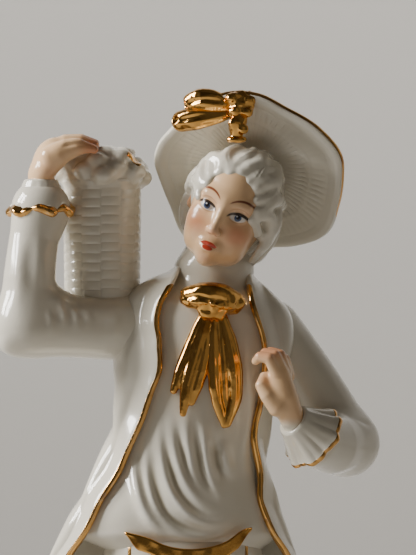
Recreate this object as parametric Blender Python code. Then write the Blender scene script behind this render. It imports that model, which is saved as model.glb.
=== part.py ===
"""A slip-cast porcelain figurine: a gentleman in a cutaway coat with a basket on one shoulder.

Each object is one casting of the set that a repairer joins with slip before firing. The frame has
+Z up, the figure faces -Y, and the origin is the centre of the base's underside. Sizes are in metres.
"""

import math

import bmesh
import bpy
from mathutils import Euler, Matrix, Vector

MM = 0.001

# Fit and wall
SLIP_GAP = 0.3 * MM  # the line of slip between two castings
WALL = 3.0 * MM  # cast wall
CUT_CLEAR = 2.0 * MM  # how far a cutter runs past what it cuts

# Base
BASE_RADIUS = 37 * MM
BASE_HEIGHT = 10 * MM
BASE_OFFSET = -3 * MM  # base centre from the figure's own centre line
GROUND_DEPTH = 1.2 * MM  # how far feet and stump stand in the ground's hollows
VENT_RADIUS = 3 * MM
VENT_OFFSET = 16 * MM
STUMP_RADIUS = 9.5 * MM

# Heights that stack up to the figure
LEG_LENGTH = 107 * MM  # sole to crotch
WAIST_RISE = 46 * MM  # crotch to waist
BACK_LENGTH = 42 * MM  # waist to collar seat
SEAM_DROP = 13 * MM  # waist to the seam between the coat's body and its skirt
HEM_DROP = 85 * MM  # waist to the coat's hem

# Legs and shoes
THIGH_RADIUS = 11 * MM
KNEE_RADIUS = 6.6 * MM
CALF_RADIUS = 6.4 * MM
ANKLE_RADIUS = 3.7 * MM
SHOE_LENGTH = 25 * MM
SHOE_WIDTH = 9 * MM
SHOE_HEIGHT = 9 * MM
BUCKLE_SIZE = 5.5 * MM
KNEE_BAND_HEIGHT = 3.2 * MM
KNEE_SHARE = 0.55  # of the leg's length, from the sole to the breeches' hem

# Body
WAIST_HALF_WIDTH = 20.6 * MM
WAIST_HALF_DEPTH = 14.4 * MM
COAT_THICKNESS = 2.6 * MM
WAISTBAND_HALF_HEIGHT = 3.4 * MM
WAISTBAND_HALF_WIDTH = 19.6 * MM
WAISTBAND_HALF_DEPTH = 14.9 * MM

# Arms
UPPER_ARM_RIGHT = 30.5 * MM
FOREARM_RIGHT = 34.5 * MM
UPPER_ARM_LEFT = 35 * MM
FOREARM_LEFT = 28.7 * MM
SLEEVE_RADIUS = 7.8 * MM
WRIST_RADIUS = 3.3 * MM
CUFF_RADIUS = 7.9 * MM
CUFF_LENGTH = 7.0 * MM
HAND_LENGTH = 16 * MM

# Head and hat
HEAD_HALF_HEIGHT = 15.5 * MM
HEAD_HALF_WIDTH = 11.4 * MM
HEAD_HALF_DEPTH = 13.6 * MM
HEAD_RISE = 16.5 * MM  # collar seat to the head's centre
HAIR_THICKNESS = 2.2 * MM
BRIM_HALF_WIDTH = 25 * MM
BRIM_HALF_HEIGHT = 21.4 * MM
BRIM_THICKNESS = 1.8 * MM
BRIM_CUP = 4 * MM  # how far the brim's edge stands forward of its root
HAT_ROLL = math.radians(25)
HAT_LEAN = math.radians(35)
CROWN_RADIUS = 14.5 * MM
CROWN_DEPTH = 15 * MM

# Basket
BASKET_RADIUS = 10 * MM
BASKET_HEIGHT = 36 * MM
BASKET_RIM = 1.0 * MM
HEAP_HEIGHT = 9 * MM

# Bows
KNOT_HALF_WIDTH = 8 * MM
KNOT_HALF_HEIGHT = 4 * MM
RIBBON_THICKNESS = 2.6 * MM
TAIL_LENGTH = 25 * MM

ROUND = 20  # sides of the larger sections
SLIM = 14  # sides of the slimmer ones

# Levels
SOLE = BASE_HEIGHT - GROUND_DEPTH
CROTCH = SOLE + LEG_LENGTH
WAIST = CROTCH + WAIST_RISE
COLLAR = WAIST + BACK_LENGTH
SEAM = WAIST - SEAM_DROP
HEM = WAIST - HEM_DROP
KNEE = SOLE + KNEE_SHARE * LEG_LENGTH


def clear_scene():
    for item in list(bpy.data.objects):
        bpy.data.objects.remove(item)


def glaze(name, colour, roughness, metallic=0.0):
    """A Principled material for one finish of the figurine."""
    made = bpy.data.materials.new(name)
    made.use_nodes = True
    shader = made.node_tree.nodes["Principled BSDF"]
    shader.inputs["Base Color"].default_value = (*colour, 1.0)
    shader.inputs["Roughness"].default_value = roughness
    shader.inputs["Metallic"].default_value = metallic
    return made


def section(centre, half_x, half_y, normal=(0, 0, 1), side=(1, 0, 0)):
    """One section of a loft: an ellipse, its plane given by its normal and the direction of half_x."""
    return Vector(centre), half_x, half_y, Vector(normal).normalized(), Vector(side)


def section_matrix(part, grow):
    centre, half_x, half_y, normal, side = part
    along = (side - normal * side.dot(normal)).normalized()
    across = normal.cross(along)
    turn = Matrix((along, across, normal)).transposed().to_4x4()
    size = Matrix.Diagonal((half_x + grow, half_y + grow, 1.0, 1.0))
    return Matrix.Translation(centre) @ turn @ size


def loft_mesh(sections, sides, grow=0.0):
    """Extrudes a ring of edges from section to section and caps both ends."""
    bm = bmesh.new()
    first, last = sections[0], sections[-1]
    spread = [section_matrix(part, grow) for part in sections]
    spread[0] = Matrix.Translation(-first[3] * grow) @ spread[0]
    spread[-1] = Matrix.Translation(last[3] * grow) @ spread[-1]
    ring = bmesh.ops.create_circle(bm, segments=sides, radius=1.0, cap_ends=True)["verts"]
    bmesh.ops.transform(bm, matrix=spread[0], verts=ring)
    edges = list(bm.edges)
    for before, after in zip(spread, spread[1:]):
        grown = bmesh.ops.extrude_edge_only(bm, edges=edges)["geom"]
        ring = [item for item in grown if isinstance(item, bmesh.types.BMVert)]
        edges = [item for item in grown if isinstance(item, bmesh.types.BMEdge)]
        bmesh.ops.transform(bm, matrix=after @ before.inverted(), verts=ring)
    bmesh.ops.edgeloop_fill(bm, edges=edges)
    bmesh.ops.recalc_face_normals(bm, faces=bm.faces)
    return bm


def finish(bm, name, material, parent):
    """Turns a bmesh into a smooth shaded object of the figurine."""
    mesh = bpy.data.meshes.new(name)
    bm.to_mesh(mesh)
    bm.free()
    mesh.shade_smooth()
    mesh.set_sharp_from_angle(angle=math.radians(50))
    made = bpy.data.objects.new(name, mesh)
    bpy.context.scene.collection.objects.link(made)
    made.parent = parent
    if material:
        mesh.materials.append(material)
    return made


def loft(name, sections, sides, material, parent, grow=0.0):
    return finish(loft_mesh(sections, sides, grow), name, material, parent)


def cutter(name, bm, parent):
    """A helper that only cuts or joins: it isn't a casting."""
    made = finish(bm, name, None, parent)
    made.hide_render = True
    made.display_type = "WIRE"
    return made


def combine(target, operation, *others):
    for other in others:
        step = target.modifiers.new(f"{operation.lower()} {other.name}", "BOOLEAN")
        step.operation = operation
        step.solver = "EXACT"
        step.object = other


def cut(target, *cutters):
    combine(target, "DIFFERENCE", *cutters)


def box_mesh(low, high):
    bm = bmesh.new()
    size = Vector(high) - Vector(low)
    centre = (Vector(high) + Vector(low)) / 2
    bmesh.ops.create_cube(bm, size=1.0, matrix=Matrix.Translation(centre) @ Matrix.Diagonal((*size, 1.0)))
    return bm


def dome(share):
    """Half width of a round end at a share of the way from its widest section to its tip."""
    return math.sqrt(max(0.0, 1.0 - share * share))


def ellipsoid_sections(centre, half, turn, steps=9, shape=lambda share: (1.0, 1.0, 0.0)):
    """Sections up a turned ellipsoid. shape gives width and depth factors and a forward shift."""
    up, side = turn @ Vector((0, 0, 1)), turn @ Vector((1, 0, 0))
    front = turn @ Vector((0, -1, 0))
    tip = 0.985
    made = []
    for step in range(steps):
        share = tip * math.sin((step / (steps - 1) - 0.5) * math.pi)
        wide, deep, shift = shape(share)
        middle = Vector(centre) + up * half.z * share + front * shift
        made.append(section(middle, half.x * dome(share) * wide, half.y * dome(share) * deep, up, side))
    return made


# ---------------------------------------------------------------- base, stump and legs


def turned_mesh(outline, sides):
    """A solid of revolution about Z from (radius, height) points, bottom to top, ends on the axis."""
    bm = bmesh.new()
    points = [bm.verts.new((radius, 0, height)) for radius, height in outline]
    edges = [bm.edges.new(pair) for pair in zip(points, points[1:])]
    bmesh.ops.spin(
        bm,
        geom=points + edges,
        cent=(0, 0, 0),
        axis=(0, 0, 1),
        angle=2 * math.pi,
        steps=sides,
        use_merge=True,
    )
    bmesh.ops.remove_doubles(bm, verts=bm.verts, dist=0.01 * MM)
    bmesh.ops.recalc_face_normals(bm, faces=bm.faces)
    return bm


def make_base(parent, porcelain):
    """A round plinth with a foot, a hollow inside and a vent hole in its underside."""
    foot = 0.93 * BASE_RADIUS
    waist = 0.9 * BASE_RADIUS
    outline = [
        (0, 0), (foot, 0), (BASE_RADIUS, 0.18 * BASE_HEIGHT), (BASE_RADIUS, 0.4 * BASE_HEIGHT),
        (waist, 0.5 * BASE_HEIGHT), (0.94 * BASE_RADIUS, 0.75 * BASE_HEIGHT),
        (0.86 * BASE_RADIUS, BASE_HEIGHT), (0, BASE_HEIGHT),
    ]
    base = finish(turned_mesh(outline, 48), "base", porcelain, parent)
    inner = waist - WALL
    hollow = [
        (0, WALL), (inner, WALL), (inner - 0.5 * WALL, BASE_HEIGHT - WALL), (0, BASE_HEIGHT - WALL),
    ]
    cavity = cutter("base_cavity", turned_mesh(hollow, 32), parent)
    vent_top = section((0, VENT_OFFSET, WALL + 0.5 * (BASE_HEIGHT - 2 * WALL)), VENT_RADIUS, VENT_RADIUS)
    vent_low = section((0, VENT_OFFSET, -CUT_CLEAR), VENT_RADIUS, VENT_RADIUS)
    vent = cutter("vent_cutter", loft_mesh([vent_low, vent_top], 24), parent)
    for item in (base, cavity, vent):
        item.location.x = BASE_OFFSET
    cut(base, cavity, vent)
    return base


class Leg:
    """Where one leg stands: hip, knee and ankle, and the way its foot points."""

    def __init__(self, name, hip, knee, ankle, toe_angle):
        self.name = name
        self.hip = Vector((hip[0], hip[1], CROTCH + 2 * MM))
        self.knee = Vector((knee[0], knee[1], KNEE))
        self.ankle = Vector((ankle[0], ankle[1], SOLE + 0.75 * SHOE_HEIGHT))
        self.toe = Vector((math.sin(toe_angle), -math.cos(toe_angle), 0))


def legs():
    return (
        Leg("left", (6 * MM, 0), (7.5 * MM, -1 * MM), (8.5 * MM, 3 * MM), math.radians(38)),
        Leg("right", (-12 * MM, 0), (-14 * MM, -6 * MM), (-14.5 * MM, -5 * MM), math.radians(-24)),
    )


def shoe_sections(leg):
    """A shoe as sections from heel to toe."""
    side = Vector((0, 0, 1)).cross(leg.toe)
    heel = leg.ankle - leg.toe * 0.26 * SHOE_LENGTH
    shape = ((0.0, 0.55, 0.62), (0.06, 0.78, 0.8), (0.3, 0.86, 1.0), (0.5, 0.9, 0.85),
             (0.72, 1.0, 0.56), (0.9, 0.86, 0.42), (1.0, 0.4, 0.25))
    made = []
    for along, wide, high in shape:
        half_high = 0.5 * SHOE_HEIGHT * high
        middle = heel + leg.toe * along * SHOE_LENGTH
        middle.z = SOLE + half_high
        made.append(section(middle, 0.5 * SHOE_WIDTH * wide, half_high, leg.toe, side))
    return made


def stocking_sections(leg):
    line = leg.knee - leg.ankle
    shape = ((0.0, ANKLE_RADIUS, 0), (0.22, 1.12 * ANKLE_RADIUS, 0), (0.55, 0.93 * CALF_RADIUS, 0.8),
             (0.75, CALF_RADIUS, 1.0), (0.98, 0.88 * CALF_RADIUS, 0.2))
    return [
        section(leg.ankle + line * share + Vector((0, 1.2 * MM * bulge, 0)), radius, 1.04 * radius, line)
        for share, radius, bulge in shape
    ]


def thigh_sections(leg):
    line = leg.hip - leg.knee
    shape = ((0.0, KNEE_RADIUS), (0.08, 1.12 * KNEE_RADIUS), (0.4, 0.5 * (KNEE_RADIUS + THIGH_RADIUS)),
             (0.8, THIGH_RADIUS), (1.1, 1.05 * THIGH_RADIUS))
    return [section(leg.knee + line * share, radius, 1.06 * radius, line) for share, radius in shape]


def make_legs(parent, porcelain, gilt):
    """Shoes, buckles, stockings and knee bands, each cut back from the casting it stands on."""
    for leg in legs():
        shoe = loft(f"shoe_{leg.name}", shoe_sections(leg), SLIM, porcelain, parent)
        cut(shoe, bpy.data.objects["ground_cutter"])
        shoe_room = cutter(f"shoe_{leg.name}_room", loft_mesh(shoe_sections(leg), SLIM, SLIP_GAP), parent)
        stocking = loft(f"stocking_{leg.name}", stocking_sections(leg), SLIM, porcelain, parent)
        cut(stocking, shoe_room)

        instep = leg.ankle + leg.toe * 0.27 * SHOE_LENGTH
        instep.z = SOLE + 0.86 * SHOE_HEIGHT
        side = Vector((0, 0, 1)).cross(leg.toe)
        lean = (Vector((0, 0, 1)) + 0.55 * leg.toe).normalized()
        half = 0.5 * BUCKLE_SIZE
        parts = [section(instep - lean * half, half, 0.8 * half, lean, side),
                 section(instep + lean * 0.25 * half, half, 0.8 * half, lean, side),
                 section(instep + lean * 0.5 * half, 0.6 * half, 0.5 * half, lean, side)]
        buckle = loft(f"shoe_buckle_{leg.name}", parts, 12, gilt, parent)
        stocking_room = loft_mesh(stocking_sections(leg), SLIM, SLIP_GAP)
        cut(buckle, shoe_room, cutter(f"stocking_{leg.name}_room", stocking_room, parent))

        line = (leg.hip - leg.knee).normalized()
        low = leg.knee - line * (KNEE_BAND_HEIGHT + SLIP_GAP)
        band_radius = KNEE_RADIUS + 0.5 * MM
        band = [section(low, 0.94 * band_radius, band_radius, line),
                section(low + 0.5 * line * KNEE_BAND_HEIGHT, band_radius, 1.06 * band_radius, line),
                section(low + line * KNEE_BAND_HEIGHT, 0.94 * band_radius, band_radius, line)]
        knee_band = loft(f"knee_band_{leg.name}", band, SLIM, gilt, parent)
        cut(knee_band, bpy.data.objects[f"stocking_{leg.name}_room"])


def make_breeches(parent, porcelain):
    """Hips and two thighs in one casting, hollow down from the waist."""
    left, right = legs()
    hip_shape = ((-0.35, 0.6, 0.7), (0.0, 0.98, 0.98), (0.3, 1.0, 1.0), (1.0, 0.86, 0.86))
    top = SEAM - CROTCH - 13 * MM
    hips = [
        section((-3 * MM, 0, CROTCH + top * share), 20.5 * MM * wide, 14 * MM * deep)
        for share, wide, deep in hip_shape
    ]
    breeches = loft("breeches", hips, ROUND, porcelain, parent)
    for leg in (left, right):
        combine(breeches, "UNION", cutter(f"thigh_{leg.name}", loft_mesh(thigh_sections(leg), SLIM), parent))
    hollow = [section((centre.x, centre.y, centre.z), half_x - WALL, half_y - WALL)
              for centre, half_x, half_y, _, _ in hips[1:]]
    hollow[-1] = section(hollow[-1][0] + Vector((0, 0, CUT_CLEAR)), hollow[-1][1], hollow[-1][2])
    cut(breeches, cutter("hip_cavity", loft_mesh(hollow, ROUND), parent))
    room = [cutter("hip_room", loft_mesh(hips, ROUND, SLIP_GAP), parent)]
    room += [
        cutter(f"thigh_{leg.name}_room", loft_mesh(thigh_sections(leg), SLIM, SLIP_GAP), parent)
        for leg in (left, right)
    ]
    return breeches, room, CROTCH + top


def make_stump(parent, porcelain, room):
    """The tree stump behind the legs that carries the figure through the kiln."""
    shape = (
        (0.0, 1.45, -4.0, 14.0),
        (0.07, 1.2, -4.0, 14.0),
        (0.35, 0.92, -2.5, 13.5),
        (0.7, 0.85, -3.5, 12.5),
        (1.0, 0.8, -3.0, 11.5),
    )
    height = KNEE + 0.16 * LEG_LENGTH - SOLE
    parts = []
    for share, wide, x, y in shape:
        radius = STUMP_RADIUS * wide
        parts.append(section((x * MM, y * MM, SOLE + height * share), radius, radius))
    stump = loft("tree_stump", parts, SLIM, porcelain, parent)
    cut(stump, bpy.data.objects["ground_cutter"], *room)
    cut(stump, *[bpy.data.objects[f"stocking_{leg.name}_room"] for leg in legs()])
    cut(stump, *[bpy.data.objects[f"shoe_{leg.name}_room"] for leg in legs()])
    return cutter("stump_room", loft_mesh(parts, SLIM, SLIP_GAP), parent)


# ---------------------------------------------------------------- body and coat

# share of the back's length above the waist, centre x and y in mm, width and depth of the coat
# against the waist's own half width and half depth
COAT_SHAPE = (
    (-0.31, -4.0, 0.0, 1.19, 1.11), (-0.14, -2.7, 0.0, 1.07, 1.04), (0.0, -1.9, 0.3, 1.0, 1.0),
    (0.21, -0.8, 0.5, 0.98, 1.01), (0.4, 1.0, 0.5, 1.04, 1.03), (0.57, 3.0, 0.8, 1.07, 0.99),
    (0.71, 4.2, 1.2, 0.97, 0.88), (0.83, 4.5, 1.6, 0.8, 0.76), (0.92, 4.5, 1.8, 0.58, 0.66),
    (1.0, 5.0, 1.8, 0.45, 0.61),
)

# share of the drop from the seam to the hem, centre x and y in mm, half width, half depth in mm
SKIRT_SHAPE = (
    (0.0, -4.0, 0.0, 24.5, 16.0), (0.11, -4.8, 0.8, 28.3, 18.2), (0.22, -5.0, 1.6, 30.6, 19.6),
    (0.42, -5.0, 2.6, 34.6, 21.6), (0.7, -4.5, 3.6, 38.4, 23.8), (1.0, -4.0, 4.0, 41.0, 26.0),
)

# height above the hem in mm, and the x of the coat's two front edges in mm
OPENING_SHAPE = (
    (-4, -60, 50), (16, -60, 48), (38, -44, 34), (56, -31, 23), (68, -23.8, 16.6), (75, -20, 15.3),
    (85, -15.8, 14.6), (95, -12, 15.8), (112, -8.5, 15.5), (122, -6, 13.6), (136, -5, 13.5),
)


def coat_sections(shrink=0.0):
    return [
        section((x * MM, y * MM, WAIST + share * BACK_LENGTH), WAIST_HALF_WIDTH * wide - shrink,
                WAIST_HALF_DEPTH * deep - shrink)
        for share, x, y, wide, deep in COAT_SHAPE
    ]


def body_sections():
    """The shirt and waistcoat under the coat: it fills the coat and stands up through its collar."""
    made = coat_sections(COAT_THICKNESS)
    top = made.pop()
    seat = Vector((top[0].x, top[0].y, COLLAR + 2.6 * MM))
    made = made[1:] + [section(top[0], 7.6 * MM, 7.4 * MM), section(seat, 7.0 * MM, 7.0 * MM)]
    return made


def skirt_sections(shrink=0.0):
    made = []
    for share, x, y, half_x, half_y in SKIRT_SHAPE:
        middle = (x * MM, y * MM, SEAM - SLIP_GAP - share * (SEAM - HEM))
        made.append(section(middle, half_x * MM - shrink, half_y * MM - shrink))
    return made


def opening_mesh(shrink=0.0):
    """The gap between the coat's two front edges, as a tall wedge that reaches forward."""
    bm = bmesh.new()
    rows = []
    for height, left, right in OPENING_SHAPE:
        level = HEM + height * MM
        sides = (left * MM + shrink, right * MM - shrink)
        rows.append([bm.verts.new((sides[x], y, level)) for x, y in
                     ((0, -50 * MM), (1, -50 * MM), (1, 4 * MM), (0, 4 * MM))])
    for low, high in zip(rows, rows[1:]):
        for corner in range(4):
            after = (corner + 1) % 4
            bm.faces.new((low[corner], low[after], high[after], high[corner]))
    bm.faces.new(rows[0])
    bm.faces.new(rows[-1])
    bmesh.ops.recalc_face_normals(bm, faces=bm.faces)
    return bm


def make_body(parent, porcelain, breeches_top):
    """The shirt front and waistcoat, hollow, open downwards where it stands on the breeches."""
    parts = body_sections()
    low = parts[0]
    foot = breeches_top + SLIP_GAP
    shape = ((1.0, 18.2, 13.2), (0.75, 18.6, 13.8), (0.35, 18.9, 13.4))
    waistline = [
        section((-3 * MM, -0.2 * MM, low[0].z + (foot - low[0].z) * share), half_x * MM, half_y * MM)
        for share, half_x, half_y in shape
    ]
    parts = waistline + parts
    body = loft("waistcoat", parts, ROUND, porcelain, parent)
    inside = [section(centre, half_x - WALL, half_y - WALL) for centre, half_x, half_y, _, _ in parts[:-2]]
    inside[0] = section(inside[0][0] - Vector((0, 0, CUT_CLEAR)), inside[0][1], inside[0][2])
    inside[-1] = section(inside[-1][0] - Vector((0, 0, WALL)), 0.7 * inside[-1][1], 0.7 * inside[-1][2])
    cut(body, cutter("body_cavity", loft_mesh(inside, ROUND), parent))
    room = cutter("waistcoat_room", loft_mesh(parts, ROUND, SLIP_GAP), parent)
    return room


def make_coat(parent, porcelain, body_room, hip_rooms, stump_room):
    opening = cutter("front_opening", opening_mesh(), parent)
    coat = loft("coat_body", coat_sections(), ROUND, porcelain, parent)
    cut(coat, opening, body_room)
    skirt = loft("coat_skirt", list(reversed(skirt_sections())), 2 * ROUND, porcelain, parent)
    lining = list(reversed(skirt_sections(COAT_THICKNESS)))
    lining[0] = section(lining[0][0] - Vector((0, 0, CUT_CLEAR)), lining[0][1], lining[0][2])
    lining[-1] = section(lining[-1][0] + Vector((0, 0, CUT_CLEAR)), lining[-1][1], lining[-1][2])
    cut(skirt, cutter("skirt_lining", loft_mesh(lining, 2 * ROUND), parent), opening, body_room, *hip_rooms)
    cut(skirt, stump_room)
    coat_room = cutter("coat_room", loft_mesh(coat_sections(), ROUND, SLIP_GAP), parent)
    fronts_room = cutter("fronts_room", loft_mesh(coat_sections(), ROUND, SLIP_GAP), parent)
    cut(fronts_room, cutter("narrow_opening", opening_mesh(SLIP_GAP), parent))
    return coat_room, fronts_room


def make_waistband(parent, gilt, body_room, hip_rooms, breeches_top):
    """A raised gilt band that dips across the front of the breeches."""
    top = breeches_top
    outer = []
    for share in (-1.0, 0.0, 1.0):
        middle = (-3.4 * MM, -0.4 * MM, top + WAISTBAND_HALF_HEIGHT * share)
        half_width = WAISTBAND_HALF_WIDTH + 0.8 * MM * share
        outer.append(section(middle, half_width, WAISTBAND_HALF_DEPTH + 0.2 * MM * share))
    band = loft("waistband", outer, ROUND, gilt, parent)
    front = cutter(
        "waistband_front",
        box_mesh((-19 * MM, -25 * MM, top - 5 * MM), (12.5 * MM, -3 * MM, top + 5 * MM)),
        parent,
    )
    combine(band, "INTERSECT", front)
    cut(band, body_room, *hip_rooms)


# ---------------------------------------------------------------- arms


class Arm:
    """Shoulder, elbow and wrist of one arm, from its lengths and the ways that its bones point."""

    def __init__(self, name, shoulder, upper, fore, upper_length, fore_length):
        self.name = name
        self.shoulder = Vector(shoulder) * MM + Vector((0, 0, WAIST))
        self.elbow = self.shoulder + Vector(upper).normalized() * upper_length
        self.wrist = self.elbow + Vector(fore).normalized() * fore_length
        self.along = (self.wrist - self.elbow).normalized()


def arms():
    return (
        Arm("right", (-15, 1, 28), (-26, -15, 2), (3, 9, 33), UPPER_ARM_RIGHT, FOREARM_RIGHT),
        Arm("left", (22, 1, 26), (16.5, 8, -30), (-13, -24.5, 7.5), UPPER_ARM_LEFT, FOREARM_LEFT),
    )


ARM_SIDE = (0, 1, 0.2)  # where an arm's sections start


def limb_sections(start, end, radii):
    """A straight limb with round ends: radii at its two ends."""
    line = (end - start).normalized()
    first, last = radii
    made = []
    for share in (-0.97, -0.8, -0.45):
        made.append((start + line * first * share, first * dome(share)))
    for share in (0.0, 0.5, 1.0):
        made.append((start.lerp(end, share), first + (last - first) * share))
    for share in (0.45, 0.8, 0.97):
        made.append((end + line * last * share, last * dome(share)))
    return [section(middle, radius, radius, line, ARM_SIDE) for middle, radius in made]


def cuff_sections(arm, grow=0.0):
    """A ruffle that flares back from the wrist over the end of the sleeve."""
    wide = arm.wrist - arm.along * CUFF_LENGTH
    lip = wide + arm.along * 0.16 * CUFF_LENGTH
    radii = ((wide, CUFF_RADIUS), (lip, CUFF_RADIUS), (arm.wrist, 1.25 * WRIST_RADIUS))
    return [section(middle, size + grow, size + grow, arm.along, ARM_SIDE) for middle, size in radii]


def forearm_sections(arm):
    end = arm.wrist - arm.along * (CUFF_LENGTH + SLIP_GAP)
    parts = limb_sections(arm.elbow, end, (SLEEVE_RADIUS, 0.9 * SLEEVE_RADIUS))
    return parts[:-3]


def make_sleeves(parent, porcelain, coat_room, body_room):
    """Each sleeve is one bent casting; it is cut to the coat at the shoulder."""
    for arm in arms():
        upper = limb_sections(arm.shoulder, arm.elbow, (1.08 * SLEEVE_RADIUS, SLEEVE_RADIUS))
        sleeve = loft(f"sleeve_{arm.name}", upper, SLIM, porcelain, parent)
        forearm = cutter(f"forearm_{arm.name}", loft_mesh(forearm_sections(arm), SLIM), parent)
        combine(sleeve, "UNION", forearm)
        cut(sleeve, coat_room, body_room)
        cutter(f"upper_{arm.name}_room", loft_mesh(upper, SLIM, SLIP_GAP), parent)
        cutter(f"forearm_{arm.name}_room", loft_mesh(forearm_sections(arm), SLIM, SLIP_GAP), parent)
        cuff = loft(f"cuff_{arm.name}", cuff_sections(arm), ROUND, porcelain, parent)
        cut(cuff, coat_room, body_room)
        cutter(f"cuff_{arm.name}_room", loft_mesh(cuff_sections(arm), ROUND, SLIP_GAP), parent)


def hand_sections(arm, bends, broad, across):
    """A closed hand as a flat loft from the wrist through the given bends."""
    points = [arm.wrist + arm.along * SLIP_GAP]
    for bend in bends:
        points.append(points[-1] + Vector(bend).normalized() * HAND_LENGTH / len(bends))
    widths = (0.95, 1.0, 1.35, 1.45, 1.2, 0.75)
    depths = (0.95, 0.9, 0.85, 0.75, 0.65, 0.45)
    made = []
    for index, point in enumerate(points):
        before = points[max(0, index - 1)]
        after = points[min(len(points) - 1, index + 1)]
        place = index / (len(points) - 1) * (len(widths) - 1)
        low = min(int(place), len(widths) - 2)
        blend = place - low
        wide = widths[low] + (widths[low + 1] - widths[low]) * blend
        deep = depths[low] + (depths[low + 1] - depths[low]) * blend
        made.append(section(point, broad * wide, broad * deep, after - before, across))
    return made


def make_hands(parent, flesh, coat_room, body_room):
    right, left = arms()
    over_basket = hand_sections(
        right, ((0.2, 0.1, 1), (0.45, 0.1, 1), (0.9, 0.15, 0.75), (1, 0.1, 0.15), (1, 0.05, -0.15)),
        WRIST_RADIUS, (0.2, 1, 0))
    at_lapel = hand_sections(
        left, ((-0.45, -0.35, 0.9), (-0.4, -0.1, 1), (-0.45, 0.05, 1), (-0.6, 0.1, 0.8), (-0.9, 0.3, 0.25)),
        WRIST_RADIUS, (0.55, -0.6, 0.3))
    made = {}
    for arm, parts in ((right, over_basket), (left, at_lapel)):
        hand = loft(f"hand_{arm.name}", parts, 12, flesh, parent)
        cut(hand, bpy.data.objects[f"cuff_{arm.name}_room"], coat_room, body_room)
        made[arm.name] = cutter(f"hand_{arm.name}_room", loft_mesh(parts, 12, SLIP_GAP), parent)
    return made


# ---------------------------------------------------------------- basket


def make_basket(parent, porcelain, coat_room, body_room, hand_room):
    """A tall basket that stands on the shoulder, and the heap of blossom in its mouth."""
    right = arms()[0]
    centre = Vector((right.shoulder.x - 8.5 * MM, 5 * MM, 0))
    top = right.wrist.z + 2.6 * MM
    foot = top - BASKET_HEIGHT

    def at(level):
        return Vector((centre.x, centre.y, level))

    wall = [
        section(at(foot), 0.93 * BASKET_RADIUS, 0.93 * BASKET_RADIUS),
        section(at(foot + 0.5 * BASKET_HEIGHT), 0.97 * BASKET_RADIUS, 0.97 * BASKET_RADIUS),
        section(at(top - 3 * MM), BASKET_RADIUS, BASKET_RADIUS),
        section(at(top - 2.6 * MM), BASKET_RADIUS + BASKET_RIM, BASKET_RADIUS + BASKET_RIM),
        section(at(top), BASKET_RADIUS + BASKET_RIM, BASKET_RADIUS + BASKET_RIM),
    ]
    basket = loft("basket", wall, ROUND, porcelain, parent)
    inside = [section(at(foot + 1.5 * WALL), BASKET_RADIUS - WALL, BASKET_RADIUS - WALL),
              section(at(top + CUT_CLEAR), BASKET_RADIUS - 0.6 * WALL, BASKET_RADIUS - 0.6 * WALL)]
    cut(basket, cutter("basket_inside", loft_mesh(inside, ROUND), parent), coat_room, body_room)
    sleeve_rooms = [bpy.data.objects[f"{part}_right_room"] for part in ("upper", "forearm", "cuff")]
    cut(basket, *sleeve_rooms)

    half = Vector((BASKET_RADIUS + 2.2 * BASKET_RIM, BASKET_RADIUS + 2.2 * BASKET_RIM, HEAP_HEIGHT))
    parts = ellipsoid_sections(at(top + SLIP_GAP), half, Matrix.Identity(3), 9)
    heap = loft("basket_heap", parts, ROUND, porcelain, parent)
    below = cutter("heap_floor", box_mesh(at(top - 30 * MM) - Vector((1, 1, 0)) * 30 * MM,
                                          at(top + SLIP_GAP) + Vector((1, 1, 0)) * 30 * MM), parent)
    cut(heap, below, hand_room, *sleeve_rooms)
    heap_room = cutter("heap_room", loft_mesh(parts, ROUND, SLIP_GAP), parent)
    wall_room = cutter("basket_room", loft_mesh(wall, ROUND, SLIP_GAP), parent)
    return heap_room, wall_room


# ---------------------------------------------------------------- head, hair and hat


def head_turn():
    """The head leans to the figure's left, turns a little to the right and nods."""
    return Euler((math.radians(4), math.radians(23), math.radians(-10)), "XYZ").to_matrix()


def head_centre():
    return Vector((9.2 * MM, -3.5 * MM, COLLAR + HEAD_RISE))


def head_sections():
    """Skull and face in one loft: the jaw narrows and its front stays forward."""
    def shape(share):
        jaw = max(0.0, -share)
        return 1.0 - 0.2 * jaw, 1.0 - 0.12 * jaw, 1.2 * MM * jaw
    half = Vector((HEAD_HALF_WIDTH, HEAD_HALF_DEPTH, HEAD_HALF_HEIGHT))
    return ellipsoid_sections(head_centre(), half, head_turn(), 11, shape)


def neck_sections():
    low = Vector((5.0 * MM, 1.8 * MM, COLLAR - 1 * MM))
    high = head_centre() + head_turn() @ Vector((0, 2.5 * MM, -0.3 * HEAD_HALF_HEIGHT))
    line = high - low
    return [section(low + line * share, radius * MM, radius * MM, line) for share, radius in
            ((0.0, 6.4), (0.5, 5.8), (1.0, 6.6))]


def hat_turn():
    """The hat's own frame: z from the crown towards the face, x along the brim's long way."""
    long_way = Vector((math.cos(HAT_ROLL), 0, -math.sin(HAT_ROLL)))
    level = Vector((math.sin(HAT_ROLL), 0, math.cos(HAT_ROLL)))
    up = level * math.cos(HAT_LEAN) + Vector((0, -1, 0)) * math.sin(HAT_LEAN)
    return Matrix((long_way, up, long_way.cross(up))).transposed()


def hat_centre():
    return head_centre() + Vector((4.0 * MM, 9.5 * MM, 8.0 * MM))


def brim_sections(share_out, offset):
    turn = hat_turn()
    facing, side = turn @ Vector((0, 0, 1)), turn @ Vector((1, 0, 0))
    place = hat_centre() + facing * offset
    return section(place, BRIM_HALF_WIDTH * share_out, BRIM_HALF_HEIGHT * share_out, facing, side)


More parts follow.
